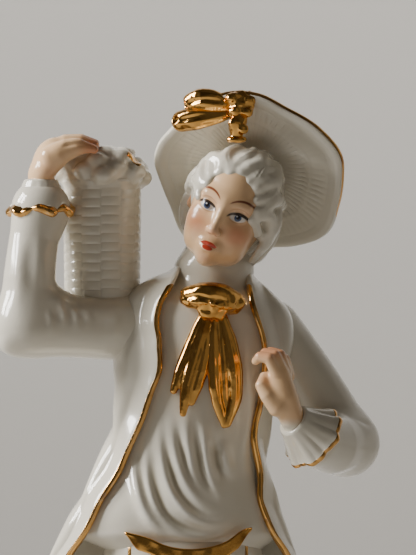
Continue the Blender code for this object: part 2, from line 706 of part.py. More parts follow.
def make_head(parent, flesh, porcelain, coat_room, body_room):
    head = loft("head", head_sections(), ROUND, flesh, parent)
    combine(head, "UNION", cutter("neck", loft_mesh(neck_sections(), SLIM), parent))
    cut(head, body_room, coat_room)
    head_room = cutter("head_room", loft_mesh(head_sections(), ROUND, SLIP_GAP), parent)
    neck_room = cutter("neck_room", loft_mesh(neck_sections(), SLIM, SLIP_GAP), parent)

    half = Vector((HEAD_HALF_WIDTH, HEAD_HALF_DEPTH, HEAD_HALF_HEIGHT)) + Vector((1, 1, 1)) * HAIR_THICKNESS
    turn = head_turn()
    centre = head_centre() + turn @ Vector((0, 0.8 * MM, 0.5 * MM))
    hair_parts = ellipsoid_sections(centre, half, turn, 11)
    hair = loft("hair", hair_parts, ROUND, porcelain, parent)
    face_box = box_mesh((-8.6 * MM, -40 * MM, -40 * MM), (8.6 * MM, -2 * MM, 8.5 * MM))
    placed = Matrix.Translation(head_centre()) @ turn.to_4x4()
    bmesh.ops.transform(face_box, matrix=placed, verts=face_box.verts)
    cut(hair, cutter("face_opening", face_box, parent), head_room, neck_room, coat_room, body_room)
    hair_room = cutter("hair_room", loft_mesh(hair_parts, ROUND, SLIP_GAP), parent)
    return head_room, neck_room, hair_room


def brim_back(clear=0.0):
    """The brim's outside, from its root forward to its edge, moved out by clear."""
    steps = ((0.5, -clear), (0.8, 0.35 * BRIM_CUP - clear), (1.0, BRIM_CUP - clear),
             (1.0, BRIM_CUP + BRIM_THICKNESS + clear))
    return [brim_sections(share, offset) for share, offset in steps]


def brim_dish(clear=0.0):
    """What is scooped out of the brim's front, moved forward by clear."""
    steps = ((0.5, 0.0), (0.8, 0.35 * BRIM_CUP), (1.06, 1.15 * BRIM_CUP), (1.3, BRIM_CUP + 12 * MM))
    return [brim_sections(share, BRIM_THICKNESS + offset + clear) for share, offset in steps]


def make_hat(parent, porcelain, rooms):
    """A wide brim, cupped forward, and a round crown behind it."""
    brim = loft("hat_brim", brim_back(), 2 * ROUND, porcelain, parent)
    cut(brim, cutter("brim_dish", loft_mesh(brim_dish(), 2 * ROUND), parent), *rooms)
    brim_room = cutter("brim_room", loft_mesh(brim_back(SLIP_GAP), 2 * ROUND, SLIP_GAP), parent)
    cut(brim_room, cutter("narrow_dish", loft_mesh(brim_dish(SLIP_GAP), 2 * ROUND), parent))

    turn = hat_turn()
    facing, side = turn @ Vector((0, 0, 1)), turn @ Vector((1, 0, 0))
    seat = hat_centre() - facing * SLIP_GAP
    crown_parts = []
    for share in (0.97, 0.85, 0.65, 0.4, 0.15, 0.0):
        radius = CROWN_RADIUS * dome(share)
        crown_parts.append(section(seat - facing * CROWN_DEPTH * share, radius, 0.92 * radius, facing, side))
    crown = loft("hat_crown", crown_parts, ROUND, porcelain, parent)
    cut(crown, brim_room, *rooms)
    return brim_room


# ---------------------------------------------------------------- bows


def ribbon(name, path, widths, thickness, facing, material, parent):
    """A flat ribbon of oval section along a path, its broad face towards facing."""
    parts = []
    for index, point in enumerate(path):
        before, after = path[max(0, index - 1)], path[min(len(path) - 1, index + 1)]
        line = (Vector(after) - Vector(before)).normalized()
        across = line.cross(Vector(facing))
        parts.append(section(Vector(point), widths[index], 0.5 * thickness, line, across))
    return loft(name, parts, SLIM, material, parent), parts


def make_neck_bow(parent, gilt, body_room, fronts_room, head_room):
    """A folded band under the chin and two ribbon tails on the chest."""
    knot = Vector((4.3 * MM, -11.6 * MM, COLLAR - 7.5 * MM))
    side = Vector((1, 0, -0.05)).normalized()
    parts = []
    for share in (-0.97, -0.8, -0.4, 0.0, 0.4, 0.8, 0.97):
        half = KNOT_HALF_HEIGHT * (0.25 + 0.75 * dome(share))
        middle = knot + side * KNOT_HALF_WIDTH * share + Vector((0, 2.2 * MM * share * share, 0))
        parts.append(section(middle, half, 0.8 * half, side, (0, 0, 1)))
    bow = loft("neck_bow", parts, SLIM, gilt, parent)
    cut(bow, body_room, fronts_room, head_room)
    room = cutter("neck_bow_room", loft_mesh(parts, SLIM, SLIP_GAP), parent)
    start = knot + Vector((1.0, -0.4, -2.5)) * MM
    tails = (
        ("right", Vector((-0.42, -0.1, -1)), 0.95 * TAIL_LENGTH, (1.4, 2.6, 4.4, 5.0, 2.0)),
        ("left", Vector((0.12, -0.1, -1)), 1.1 * TAIL_LENGTH, (1.6, 2.6, 3.8, 4.0, 1.2)),
    )
    rooms = [room]
    for name, way, length, widths in tails:
        offset = Vector((-1.6 if name == "right" else 1.6, 0, 0)) * MM
        path = []
        for step in range(5):
            bulge = Vector((0, -1.8 * MM * math.sin(math.pi * step / 4), 0))
            path.append(start + offset + way.normalized() * length * step / 4 + bulge)
        facing = (0, -1, 0)
        tail, tail_parts = ribbon(
            f"neck_bow_tail_{name}", path, [w * MM for w in widths], RIBBON_THICKNESS, facing, gilt, parent)
        cut(tail, *rooms, body_room, fronts_room)
        rooms.append(cutter(f"tail_{name}_room", loft_mesh(tail_parts, SLIM, SLIP_GAP), parent))


def make_hat_bow(parent, gilt, rooms):
    """Two loops out along the brim, a knot, and a short end that hangs to the hairline."""
    knot = hat_centre() + hat_turn() @ Vector((-8.2 * MM, 16.0 * MM, BRIM_CUP + BRIM_THICKNESS + 1.6 * MM))
    parts = []
    for share in (-0.97, -0.7, 0.0, 0.7, 0.97):
        radius = 3.1 * MM * dome(share)
        parts.append(section(knot + Vector((0, 0, 3.1 * MM * share)), radius, 0.8 * radius))
    cut(loft("hat_bow_knot", parts, SLIM, gilt, parent), *rooms)
    rooms = [*rooms, cutter("hat_knot_room", loft_mesh(parts, SLIM, SLIP_GAP), parent)]
    loops = (
        ("upper", (-2.2, -0.2, 1.4), (-1, -0.1, 0.05), 12 * MM, (1.4, 2.4, 3.0, 2.6, 1.6)),
        ("lower", (-2.2, -0.4, -1.6), (-1, -0.1, -0.28), 14 * MM, (1.3, 2.1, 2.7, 2.9, 1.8)),
    )
    for name, offset, way, length, widths in loops:
        start, line = knot + Vector(offset) * MM, Vector(way).normalized()
        path = [start + line * length * step / 4 for step in range(5)]
        loop, loop_parts = ribbon(
            f"hat_bow_loop_{name}", path, [w * MM for w in widths], 4.4 * MM, (0, -1, 0), gilt, parent)
        cut(loop, *rooms)
        rooms.append(cutter(f"hat_loop_{name}_room", loft_mesh(loop_parts, SLIM, SLIP_GAP), parent))
    start, stride = knot + Vector((-0.3, -0.6, -2.8)) * MM, Vector((-0.5, -0.5, -1.75)) * MM
    path = [start + stride * step for step in range(5)]
    widths = [w * MM for w in (2.4, 2.7, 2.2, 2.0, 2.6)]
    drop, _ = ribbon("hat_bow_drop", path, widths, 4.0 * MM, (0, -1, 0), gilt, parent)
    cut(drop, *rooms)


# ---------------------------------------------------------------- assembly


def main():
    clear_scene()
    figure = bpy.data.objects.new("figure", None)
    bpy.context.scene.collection.objects.link(figure)
    figure.location.x = -BASE_OFFSET

    porcelain = glaze("glazed_porcelain", (0.83, 0.80, 0.74), 0.12)
    flesh = glaze("flesh_glaze", (0.86, 0.66, 0.52), 0.15)
    gilt = glaze("bright_gold", (0.83, 0.50, 0.16), 0.14, 1.0)

    reach = 2 * BASE_RADIUS
    ground = box_mesh((-reach, -reach, -CUT_CLEAR), (reach, reach, BASE_HEIGHT + SLIP_GAP))
    cutter("ground_cutter", ground, figure)
    make_base(figure, porcelain)
    make_legs(figure, porcelain, gilt)
    _, hip_rooms, breeches_top = make_breeches(figure, porcelain)
    for leg in legs():
        for name in ("stocking", "knee_band"):
            cut(bpy.data.objects[f"{name}_{leg.name}"], bpy.data.objects[f"thigh_{leg.name}_room"])
    stump_room = make_stump(figure, porcelain, hip_rooms)
    body_room = make_body(figure, porcelain, breeches_top)
    coat_room, fronts_room = make_coat(figure, porcelain, body_room, hip_rooms, stump_room)
    make_waistband(figure, gilt, body_room, hip_rooms, breeches_top)
    make_sleeves(figure, porcelain, coat_room, body_room)
    hand_rooms = make_hands(figure, flesh, coat_room, body_room)
    basket_rooms = make_basket(figure, porcelain, coat_room, body_room, hand_rooms["right"])
    head_room, neck_room, hair_room = make_head(figure, flesh, porcelain, coat_room, body_room)
    rooms = (head_room, neck_room, hair_room, coat_room, body_room, *basket_rooms)
    brim_room = make_hat(figure, porcelain, rooms)
    make_neck_bow(figure, gilt, body_room, fronts_room, head_room)
    make_hat_bow(figure, gilt, (brim_room, hair_room, head_room))


main()
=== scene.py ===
"""A porcelain gentleman with a basket on his shoulder: modelling, glazing and gilding over the CAD frame.

Laid out as an add-on. Modelling is done in millimetres: x from the figure's centre line, y back from it,
z up from the table. A piece is thrown either as clay, a signed distance on a grid that is meshed where it
is zero, or as a slab, a curved middle surface that is given a rounded thickness.
"""

import math

import bmesh
import bpy
import numpy as np
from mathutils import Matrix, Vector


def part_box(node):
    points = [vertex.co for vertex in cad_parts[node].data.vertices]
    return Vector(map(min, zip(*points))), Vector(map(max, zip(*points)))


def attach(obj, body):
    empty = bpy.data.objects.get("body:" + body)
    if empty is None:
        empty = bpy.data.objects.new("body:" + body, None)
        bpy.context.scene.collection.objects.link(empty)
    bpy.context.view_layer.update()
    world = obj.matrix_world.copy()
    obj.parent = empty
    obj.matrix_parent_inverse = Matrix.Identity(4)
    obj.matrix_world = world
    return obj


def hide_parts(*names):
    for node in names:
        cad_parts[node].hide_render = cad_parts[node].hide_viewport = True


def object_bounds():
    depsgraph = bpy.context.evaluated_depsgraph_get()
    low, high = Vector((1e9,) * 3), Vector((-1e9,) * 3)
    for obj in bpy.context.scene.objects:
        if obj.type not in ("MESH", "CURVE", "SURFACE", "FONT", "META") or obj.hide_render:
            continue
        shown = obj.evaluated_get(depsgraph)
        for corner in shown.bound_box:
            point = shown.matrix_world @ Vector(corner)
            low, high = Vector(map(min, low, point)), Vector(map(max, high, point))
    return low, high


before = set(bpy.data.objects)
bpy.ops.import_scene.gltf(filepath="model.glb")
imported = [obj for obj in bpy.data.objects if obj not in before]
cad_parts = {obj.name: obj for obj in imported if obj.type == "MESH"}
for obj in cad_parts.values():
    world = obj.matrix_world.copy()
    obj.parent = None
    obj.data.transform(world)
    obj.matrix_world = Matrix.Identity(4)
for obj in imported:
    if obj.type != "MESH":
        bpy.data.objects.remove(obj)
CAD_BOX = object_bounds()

import openvdb
from mathutils import Euler, Matrix, Vector

bl_info = {
    "name": "Porcelain Gentleman",
    "version": (1, 0, 0),
    "blender": (4, 5, 0),
    "location": "3D View > Sidebar > Figurine",
    "description": "Models, glazes and gilds a porcelain gentleman with a basket",
    "category": "Object",
}

BODY = "root"
PORCELAIN, FLESH, GOLD = "glazed_porcelain", "flesh_glaze", "bright_gold"
MM = 0.001


def centre_of(node):
    """Middle of a casting's box, in mm."""
    low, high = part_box(node)
    return (np.array(low) + np.array(high)) / 2 / MM


BASE_MIDDLE = centre_of("base")
CENTRE_LINE = BASE_MIDDLE[0] + 3.0
FOOT_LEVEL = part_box("base")[0][2] / MM


# ---------------------------------------------------------------- small maths


def vec(*values):
    """A point or direction."""
    return np.array(values, dtype=np.float64)


def unit(vector):
    """The same direction at length 1."""
    vector = np.asarray(vector, dtype=np.float64)
    return vector / np.linalg.norm(vector)


def ease(value, low, high):
    """Rises smoothly from 0 at low to 1 at high."""
    share = np.clip((value - low) / (high - low), 0.0, 1.0)
    return share * share * (3.0 - 2.0 * share)


def bell(value, width):
    """Falls smoothly from 1 at 0, to about a third at the given width."""
    return np.exp(-((value / width) ** 2))


def flowing(keys, values, at):
    """A smooth curve through (keys, values), keys rising, read at many places."""
    keys, values = np.asarray(keys, float), np.asarray(values, float)
    slopes = np.gradient(values, keys)
    at = np.clip(at, keys[0], keys[-1])
    cell = np.clip(np.searchsorted(keys, at) - 1, 0, len(keys) - 2)
    width = keys[cell + 1] - keys[cell]
    t = (at - keys[cell]) / width
    return (
        (2 * t**3 - 3 * t**2 + 1) * values[cell]
        + (t**3 - 2 * t**2 + t) * width * slopes[cell]
        + (-2 * t**3 + 3 * t**2) * values[cell + 1]
        + (t**3 - t**2) * width * slopes[cell + 1]
    )


def curve_through(points, count):
    """A smooth path of count points through a few."""
    points = np.asarray(points, float)
    steps = np.concatenate([[0.0], np.cumsum(np.linalg.norm(np.diff(points, axis=0), axis=1))])
    at = np.linspace(0, steps[-1], count)
    return np.stack([flowing(steps, points[:, axis], at) for axis in range(points.shape[1])], axis=1)


def cloud(points, size, seed):
    """Soft noise from -1 to 1 with the given feature size."""
    table = np.random.default_rng(seed).random((24, 24, 24)).astype(np.float32) * 2 - 1
    p = np.asarray(points, np.float32) / size + 400.0
    cell = np.floor(p).astype(np.int64)
    t = p - cell
    t = t * t * (3 - 2 * t)
    total = 0.0
    for corner in range(8):
        step = np.array([(corner >> axis) & 1 for axis in range(3)])
        weight = np.prod(np.where(step, t, 1 - t), axis=-1)
        index = (cell + step) % 24
        total = total + weight * table[index[..., 0], index[..., 1], index[..., 2]]
    return total


def turned(roll=0.0, yaw=0.0, nod=0.0):
    """Local axes in columns: nod about x, then roll about y, then yaw about z, in degrees."""
    angles = (math.radians(nod), math.radians(roll), math.radians(yaw))
    return np.array(Euler(angles, "XYZ").to_matrix())


# ---------------------------------------------------------------- clay


class Clay:
    """A block of space sampled on a grid, in which a solid is built up as a signed distance."""

    def __init__(self, low, high, pitch):
        self.pitch = pitch
        self.low = np.asarray(low, float)
        counts = np.ceil((np.asarray(high, float) - self.low) / pitch).astype(int) + 1
        axes = [self.low[axis] + pitch * np.arange(counts[axis]) for axis in range(3)]
        self.points = np.stack(np.meshgrid(*axes, indexing="ij"), axis=-1).astype(np.float32)
        self.solid = np.full(counts, 50.0, np.float32)
        self.whole = self.spots = None

    def add(self, distance, soft=0.0):
        self.solid = merged(self.solid, distance, soft)

    def take(self, distance, soft=0.0):
        self.solid = -merged(-self.solid, distance, soft)

    def swell(self, height):
        self.solid = self.solid - height

    def near(self, reach=3.0):
        """Drops the points further than reach from the surface, so that fine work goes faster."""
        close = np.abs(self.solid) < reach
        if self.spots is None:
            self.whole, self.spots = self.solid, np.flatnonzero(close)
        else:
            self.whole.flat[self.spots] = self.solid
            self.spots = self.spots[close]
        self.points, self.solid = self.points[close], self.solid[close]
        return self.points

    def field(self):
        if self.spots is None:
            return self.solid
        self.whole.flat[self.spots] = self.solid
        return self.whole


def seen_from(points, middle, axes):
    """Points taken from a middle and along axes, which are given in columns."""
    return (points - np.asarray(middle, np.float32)) @ np.asarray(axes, np.float32)


def merged(first, second, soft):
    """The union of two distances, blended where they meet over a soft width."""
    if soft <= 0:
        return np.minimum(first, second)
    h = np.clip(0.5 + 0.5 * (second - first) / soft, 0, 1)
    return second * (1 - h) + first * h - soft * h * (1 - h)


def egg(points, centre, radii, axes=None):
    """Distance to an ellipsoid. axes holds its local axes in columns."""
    p = points - np.asarray(centre, np.float32)
    if axes is not None:
        p = p @ np.asarray(axes, np.float32)
    radii = np.asarray(radii, np.float32)
    inner = np.linalg.norm(p / radii, axis=-1)
    slope = np.linalg.norm(p / (radii * radii), axis=-1)
    return inner * (inner - 1.0) / np.maximum(slope, 1e-5)


def limb(points, path, radii):
    """Distance to a chain of tapering round limbs along a path."""
    path = np.asarray(path, np.float32)
    nearest = None
    for start, end, first, last in zip(path, path[1:], radii, radii[1:]):
        line = end - start
        p = points - start
        share = np.clip((p @ line) / max(float(line @ line), 1e-9), 0, 1)
        gap = np.linalg.norm(p - share[..., None] * line, axis=-1) - (first + (last - first) * share)
        nearest = gap if nearest is None else np.minimum(nearest, gap)
    return nearest


def fold(points, path, width, height, fade=0.25):
    """A soft ridge (or a crease, if height is negative) along a path, fading out towards its ends."""
    path = np.asarray(path, np.float32)
    steps = np.concatenate([[0.0], np.cumsum(np.linalg.norm(np.diff(path, axis=0), axis=1))])
    best = np.full(points.shape[:-1], 1e9, np.float32)
    place = np.zeros(points.shape[:-1], np.float32)
    for index, (start, end) in enumerate(zip(path, path[1:])):
        line = end - start
        p = points - start
        share = np.clip((p @ line) / max(float(line @ line), 1e-9), 0, 1)
        gap = np.linalg.norm(p - share[..., None] * line, axis=-1)
        closer = gap < best
        best = np.where(closer, gap, best)
        along = (steps[index] + share * (steps[index + 1] - steps[index])) / steps[-1]
        place = np.where(closer, along, place)
    taper = ease(place, 0, fade) * ease(1 - place, 0, fade)
    return height * bell(best, width) * taper


# ---------------------------------------------------------------- meshes


HOLLOW_ROUNDS = 14  # how many times a mesh is softened to see what stands out of it


def hollowness(verts, edges, normals):
    """How far each point lies in a hollow (positive) or on a ridge (negative), in mm."""
    soft = verts.copy()
    ends_a, ends_b = edges[:, 0], edges[:, 1]
    count = np.zeros(len(verts))
    np.add.at(count, ends_a, 1)
    np.add.at(count, ends_b, 1)
    count = np.maximum(count, 1)[:, None]
    for _ in range(HOLLOW_ROUNDS):
        total = np.zeros_like(soft)
        for axis in range(3):
            total[:, axis] = np.bincount(ends_a, soft[ends_b, axis], len(verts))
            total[:, axis] += np.bincount(ends_b, soft[ends_a, axis], len(verts))
        soft = 0.4 * soft + 0.6 * total / count
    return np.einsum("ij,ij->i", soft - verts, normals)


def to_object(name, finish, verts, faces, marks=None, smooth_rounds=0):
    """A smooth shaded object from points in mm in the figure's own frame, with marks on its points.

    finish names its material, or is None where a tree sets the material later.
    """
    mesh = bpy.data.meshes.new(name)
    verts = np.asarray(verts, float)
    placed = (verts + vec(CENTRE_LINE, 0, FOOT_LEVEL)) * MM
    mesh.vertices.add(len(verts))
    mesh.vertices.foreach_set("co", placed.astype(np.float32).ravel())
    sizes = np.array([len(face) for face in faces])
    loops = np.concatenate([np.asarray(face) for face in faces])
    mesh.loops.add(len(loops))
    mesh.loops.foreach_set("vertex_index", loops.astype(np.int32))
    mesh.polygons.add(len(sizes))
    starts = np.concatenate([[0], np.cumsum(sizes)[:-1]])
    mesh.polygons.foreach_set("loop_start", starts.astype(np.int32))
    mesh.update(calc_edges=True)
    mesh.validate()
    bm = bmesh.new()
    bm.from_mesh(mesh)
    for _ in range(smooth_rounds):
        bmesh.ops.smooth_vert(bm, verts=bm.verts, factor=0.5, use_axis_x=True, use_axis_y=True,
                              use_axis_z=True)
    bmesh.ops.recalc_face_normals(bm, faces=bm.faces)
    if bm.calc_volume(signed=True) < 0:
        bmesh.ops.reverse_faces(bm, faces=bm.faces)
    bm.to_mesh(mesh)
    bm.free()
    mesh.shade_smooth()
    points = np.empty(len(mesh.vertices) * 3)
    mesh.vertices.foreach_get("co", points)
    points = points.reshape(-1, 3) / MM
    normals = np.empty(len(mesh.vertices) * 3)
    mesh.vertices.foreach_get("normal", normals)
    edges = np.empty(len(mesh.edges) * 2, np.int32)
    mesh.edges.foreach_get("vertices", edges)
    marks = dict(marks or {})
    marks["hollow"] = hollowness(points, edges.reshape(-1, 2), normals.reshape(-1, 3))
    for mark, values in marks.items():
        if callable(values):
            values = values(points - vec(CENTRE_LINE, 0, FOOT_LEVEL))
        layer = mesh.attributes.new(mark, "FLOAT", "POINT")
        layer.data.foreach_set("value", np.asarray(values, np.float32))
    if finish:
        mesh.materials.append(bpy.data.materials[finish])
    made = bpy.data.objects.new(name, mesh)
    bpy.context.scene.collection.objects.link(made)
    return made


def fired(name, finish, clay, marks=None):
    """Meshes the clay's surface."""
    reach = 3 * clay.pitch
    grid = openvdb.FloatGrid(reach)
    grid.copyFromArray(np.clip(clay.field(), -reach, reach).astype(np.float32))
    points, _, quads = grid.convertToPolygons(0.0, 0.0)
    verts = np.asarray(points, float) * clay.pitch + clay.low
    return to_object(name, finish, verts, np.asarray(quads), marks, smooth_rounds=1)


def slab(name, finish, middle, half, round_u=1.0, round_v=1.0, closed=False, marks=None):
    """Gives a middle surface a thickness that rounds off to nothing at its open edges.

    middle is (rows, columns, 3); rows wrap round when closed. half is the half thickness, one number or one
    for each point. round_u and round_v are how far in from the row ends and the column ends the rounding
    reaches, in mm. Marks given as arrays have the middle surface's shape and go on both of its faces.
    """
    rows, columns = middle.shape[:2]
    if closed:
        du = np.roll(middle, -1, axis=0) - np.roll(middle, 1, axis=0)
    else:
        du = np.gradient(middle, axis=0)
    dv = np.gradient(middle, axis=1)
    normal = np.cross(du, dv)
    normal /= np.maximum(np.linalg.norm(normal, axis=-1, keepdims=True), 1e-9)
    half = np.broadcast_to(np.asarray(half, float), (rows, columns)).copy()

    def rounding(axis, reach):
        steps = np.linalg.norm(np.diff(middle, axis=axis), axis=-1)
        pad = [(0, 0), (0, 0)]
        pad[axis] = (1, 0)
        run = np.cumsum(np.pad(steps, pad), axis=axis)
        total = np.take(run, [-1], axis=axis)
        near = np.minimum(run, total - run)
        share = np.clip(near / reach, 0, 1)
        return np.sqrt(1 - (1 - share) ** 2)

    if not closed:
        half *= rounding(0, round_u)
    half *= rounding(1, round_v)
    outer = middle + normal * half[..., None]
    inner = middle - normal * half[..., None]
    index = np.arange(rows * columns).reshape(rows, columns)
    border = np.zeros((rows, columns), bool)
    border[:, 0] = border[:, -1] = True
    if not closed:
        border[0, :] = border[-1, :] = True
    under = index.copy()
    loose = ~border
    under[loose] = rows * columns + np.arange(loose.sum())
    verts = np.concatenate([outer.reshape(-1, 3), inner[loose]])
    after = np.roll(np.arange(rows), -1) if closed else np.arange(1, rows)
    before = np.arange(rows) if closed else np.arange(rows - 1)

    def quads(grid):
        a, b = grid[before][:, :-1], grid[after][:, :-1]
        c, d = grid[after][:, 1:], grid[before][:, 1:]
        return np.stack([a, b, c, d], axis=-1).reshape(-1, 4)

    faces = np.concatenate([quads(index), quads(under)[:, ::-1]])
    spread = {}
    for mark, values in (marks or {}).items():
        values = np.broadcast_to(values, (rows, columns))
        spread[mark] = np.concatenate([values.ravel(), values[loose]])
    return to_object(name, finish, verts, faces, spread)


def tube(name, finish, rings, marks=None):
    """A closed body from rings (rings, points, 3), each end closed by a fan on its middle."""
    count, around = rings.shape[:2]
    verts = np.concatenate([rings.reshape(-1, 3), [rings[0].mean(axis=0)], [rings[-1].mean(axis=0)]])
    index = np.arange(count * around).reshape(count, around)
    turned_on = np.roll(index, -1, axis=1)
    sides = np.stack([index[:-1], turned_on[:-1], turned_on[1:], index[1:]], axis=-1).reshape(-1, 4)
    first, last = count * around, count * around + 1
    faces = [*sides]
    faces += [np.array([first, b, a]) for a, b in zip(index[0], turned_on[0])]
    faces += [np.array([last, a, b]) for a, b in zip(index[-1], turned_on[-1])]
    spread = {}
    for mark, values in (marks or {}).items():
        values = np.asarray(values)
        spread[mark] = np.concatenate([values.ravel(), [values[0].mean()], [values[-1].mean()]])
    return to_object(name, finish, verts, faces, spread)


def spaced(start, end, count, crowd=0.0):
    """Values from start to end, crowded towards both ends."""
    t = np.linspace(0, 1, count)
    bunched = 0.5 - 0.5 * np.cos(np.pi * t)
    t = (1 - crowd) * t + crowd * bunched
    return start + (end - start) * t


# ---------------------------------------------------------------- shader node groups

NUMBER, DIRECTION, COLOUR = "NodeSocketFloat", "NodeSocketVector", "NodeSocketColor"


class Board:
    """Lays nodes out in a node tree."""

    def __init__(self, tree):
        self.tree = tree
        self.column = 0

    def node(self, kind, **settings):
        made = self.tree.nodes.new(kind)
        made.location = (self.column * 190 - 1400, -(self.column % 5) * 170)
        self.column += 1
        for key, value in settings.items():
            setattr(made, key, value)
        return made

    def put(self, socket, value):
        if isinstance(value, bpy.types.NodeSocket):
            self.tree.links.new(value, socket)
        elif value is not None:
            socket.default_value = value

    def math(self, operation, first, second=None, third=None, clamp=False):
        made = self.node("ShaderNodeMath", operation=operation, use_clamp=clamp)
        for socket, value in zip(made.inputs, (first, second, third)):
            self.put(socket, value)
        return made.outputs[0]

    def step(self, value, low, high):
        """0 below low, 1 above high, smooth between; falls instead when high is below low."""
        made = self.node("ShaderNodeMapRange", interpolation_type="SMOOTHSTEP")
        rising = low < high
        self.put(made.inputs["Value"], value)
        made.inputs["From Min"].default_value = min(low, high)
        made.inputs["From Max"].default_value = max(low, high)
        made.inputs["To Min"].default_value = 0.0 if rising else 1.0
        made.inputs["To Max"].default_value = 1.0 if rising else 0.0
        return made.outputs["Result"]

    def tint(self, share, first, second):
        """Mixes two colours."""
        made = self.node("ShaderNodeMix", data_type="RGBA")
        self.put(made.inputs["Factor"], share)
        for socket, value in ((made.inputs[6], first), (made.inputs[7], second)):
            if isinstance(value, tuple) and len(value) == 3:
                value = (*value, 1.0)
            self.put(socket, value)
        return made.outputs[2]

    def mark(self, name):
        return self.node("ShaderNodeAttribute", attribute_name=name).outputs["Fac"]

    def noise(self, where, scale, detail=2.0, roughness=0.5):
        made = self.node("ShaderNodeTexNoise")
        self.put(made.inputs["Vector"], where)
        made.inputs["Scale"].default_value = scale
        made.inputs["Detail"].default_value = detail
        made.inputs["Roughness"].default_value = roughness
        return made.outputs["Fac"]

    def placed(self, name, **values):
        """Places a shared node group and fills in its named inputs."""
        made = self.node("ShaderNodeGroup", node_tree=bpy.data.node_groups[name])
        for key, value in values.items():
            self.put(made.inputs[key.replace("_", " ")], value)
        return made


def shared_group(name, inputs, outputs):
    """A shader node group with named inputs and outputs."""
    tree = bpy.data.node_groups.new(name, "ShaderNodeTree")
    for label, kind, default in inputs:
        socket = tree.interface.new_socket(label, in_out="INPUT", socket_type=kind)
        if default is not None:
            socket.default_value = default
    for label, kind in outputs:
        tree.interface.new_socket(label, in_out="OUTPUT", socket_type=kind)
    board = Board(tree)
    return board, board.node("NodeGroupInput").outputs, board.node("NodeGroupOutput").inputs


def make_glaze_pooling_and_painted_shade():
    """Glaze gathers in hollows, where it looks deeper, and thins on ridges, where the body shows through; the
    darker hollows are also painted shade and the lighter ridges painted light.
    """
    board, given, out = shared_group(
        "glaze pooling",
        (("Hollow", NUMBER, 0.0), ("Body Colour", COLOUR, (0.8, 0.8, 0.8, 1)),
         ("Pool Colour", COLOUR, (0.6, 0.6, 0.6, 1)), ("Ridge Colour", COLOUR, (0.9, 0.9, 0.9, 1)),
         ("Place", DIRECTION, None)),
        (("Colour", COLOUR), ("Pooling", NUMBER)),
    )
    drift = board.noise(given["Place"], 38.0, 3.0)
    drifted = board.math("MULTIPLY_ADD", board.math("SUBTRACT", drift, 0.5), 0.10, given["Hollow"])
    pooling = board.step(drifted, 0.02, 0.45)
    ridge = board.step(drifted, -0.04, -0.40)
    # painted shade and painted light: the body colour goes darker in hollows and lighter on ridges, beside the
    # glaze's own pooling
    colour = board.tint(pooling, given["Body Colour"], given["Pool Colour"])
    board.put(out["Colour"], board.tint(ridge, colour, given["Ridge Colour"]))
    board.put(out["Pooling"], pooling)


def make_kiln_marks():
    """The few dark specks and pinholes that a kiln leaves in white glaze."""
    board, given, out = shared_group(
        "kiln specks",
        (("Place", DIRECTION, None), ("Density", NUMBER, 0.06)),
        (("Speck", NUMBER),),
    )
    cells = board.node("ShaderNodeTexVoronoi")
    board.put(cells.inputs["Vector"], given["Place"])
    cells.inputs["Scale"].default_value = 190.0
    near = board.step(cells.outputs["Distance"], 0.075, 0.045)
    pick = board.node("ShaderNodeSeparateColor")
    board.put(pick.inputs[0], cells.outputs["Color"])
    chosen = board.math("LESS_THAN", pick.outputs[0], given["Density"])
    board.put(out["Speck"], board.math("MULTIPLY", near, chosen))


def make_glaze_ripple():
    """The long soft ripple and fine orange peel of a fired glaze."""
    board, given, out = shared_group(
        "glaze ripple", (("Place", DIRECTION, None),), (("Height", NUMBER),)
    )
    wide = board.noise(given["Place"], 150.0, 1.0)
    fine = board.noise(given["Place"], 900.0, 2.0)
    board.put(out["Height"], board.math("MULTIPLY_ADD", fine, 0.12, wide))


def make_gilt_line():
    """A hand-painted gold line: where a distance from an edge is less than an unsteady width."""
    board, given, out = shared_group(
        "gilt line",
        (("Distance", NUMBER, 0.0), ("Width", NUMBER, 1.0), ("Wobble", NUMBER, 0.25),
         ("Place", DIRECTION, None)),
        (("Gold", NUMBER), ("Rub", NUMBER)),
    )
    unsteady = board.noise(given["Place"], 260.0, 2.0)
    edge = board.math("MULTIPLY_ADD", board.math("SUBTRACT", unsteady, 0.5),
                      board.math("MULTIPLY", given["Wobble"], 2.0),
                      given["Width"])
    inside = board.math("SUBTRACT", edge, given["Distance"])
    rub = board.noise(given["Place"], 620.0, 3.0, 0.6)
    board.put(out["Gold"], board.step(inside, -0.03, 0.05))
    board.put(out["Rub"], board.step(rub, 0.56, 0.72))


def make_gold_tone():
    """Bright gold's colour: brown in patches where the brush left little and brown in hollows as painted
    shade, with scattered darker pits.
    """
    board, given, out = shared_group(
        "gold tone",
        (("Place", DIRECTION, None), ("Hollow", NUMBER, 0.0),
         ("Bright", COLOUR, (0.9, 0.6, 0.25, 1)), ("Thin", COLOUR, (0.5, 0.25, 0.08, 1))),
        (("Colour", COLOUR), ("Roughness", NUMBER), ("Height", NUMBER)),
    )
    patches = board.noise(given["Place"], 190.0, 3.0, 0.5)
    streaks = board.noise(given["Place"], 1100.0, 2.0)
    # painted shade: the gold turns brown in hollows as well as in patches where the brush left little
    thin_and_shaded = board.math("ADD", board.step(patches, 0.52, 0.75),
                      board.math("MULTIPLY", board.step(given["Hollow"], 0.03, 0.3), 0.7))
    thin_and_shaded = board.math("MINIMUM", thin_and_shaded, 1.0)
    board.put(out["Colour"], board.tint(thin_and_shaded, given["Bright"], given["Thin"]))
    board.put(out["Roughness"],
              board.math("MULTIPLY_ADD", streaks, 0.10, board.math("MULTIPLY_ADD", thin_and_shaded, 0.10, 0.08)))
    board.put(out["Height"], board.math("MULTIPLY_ADD", streaks, 0.15, patches))


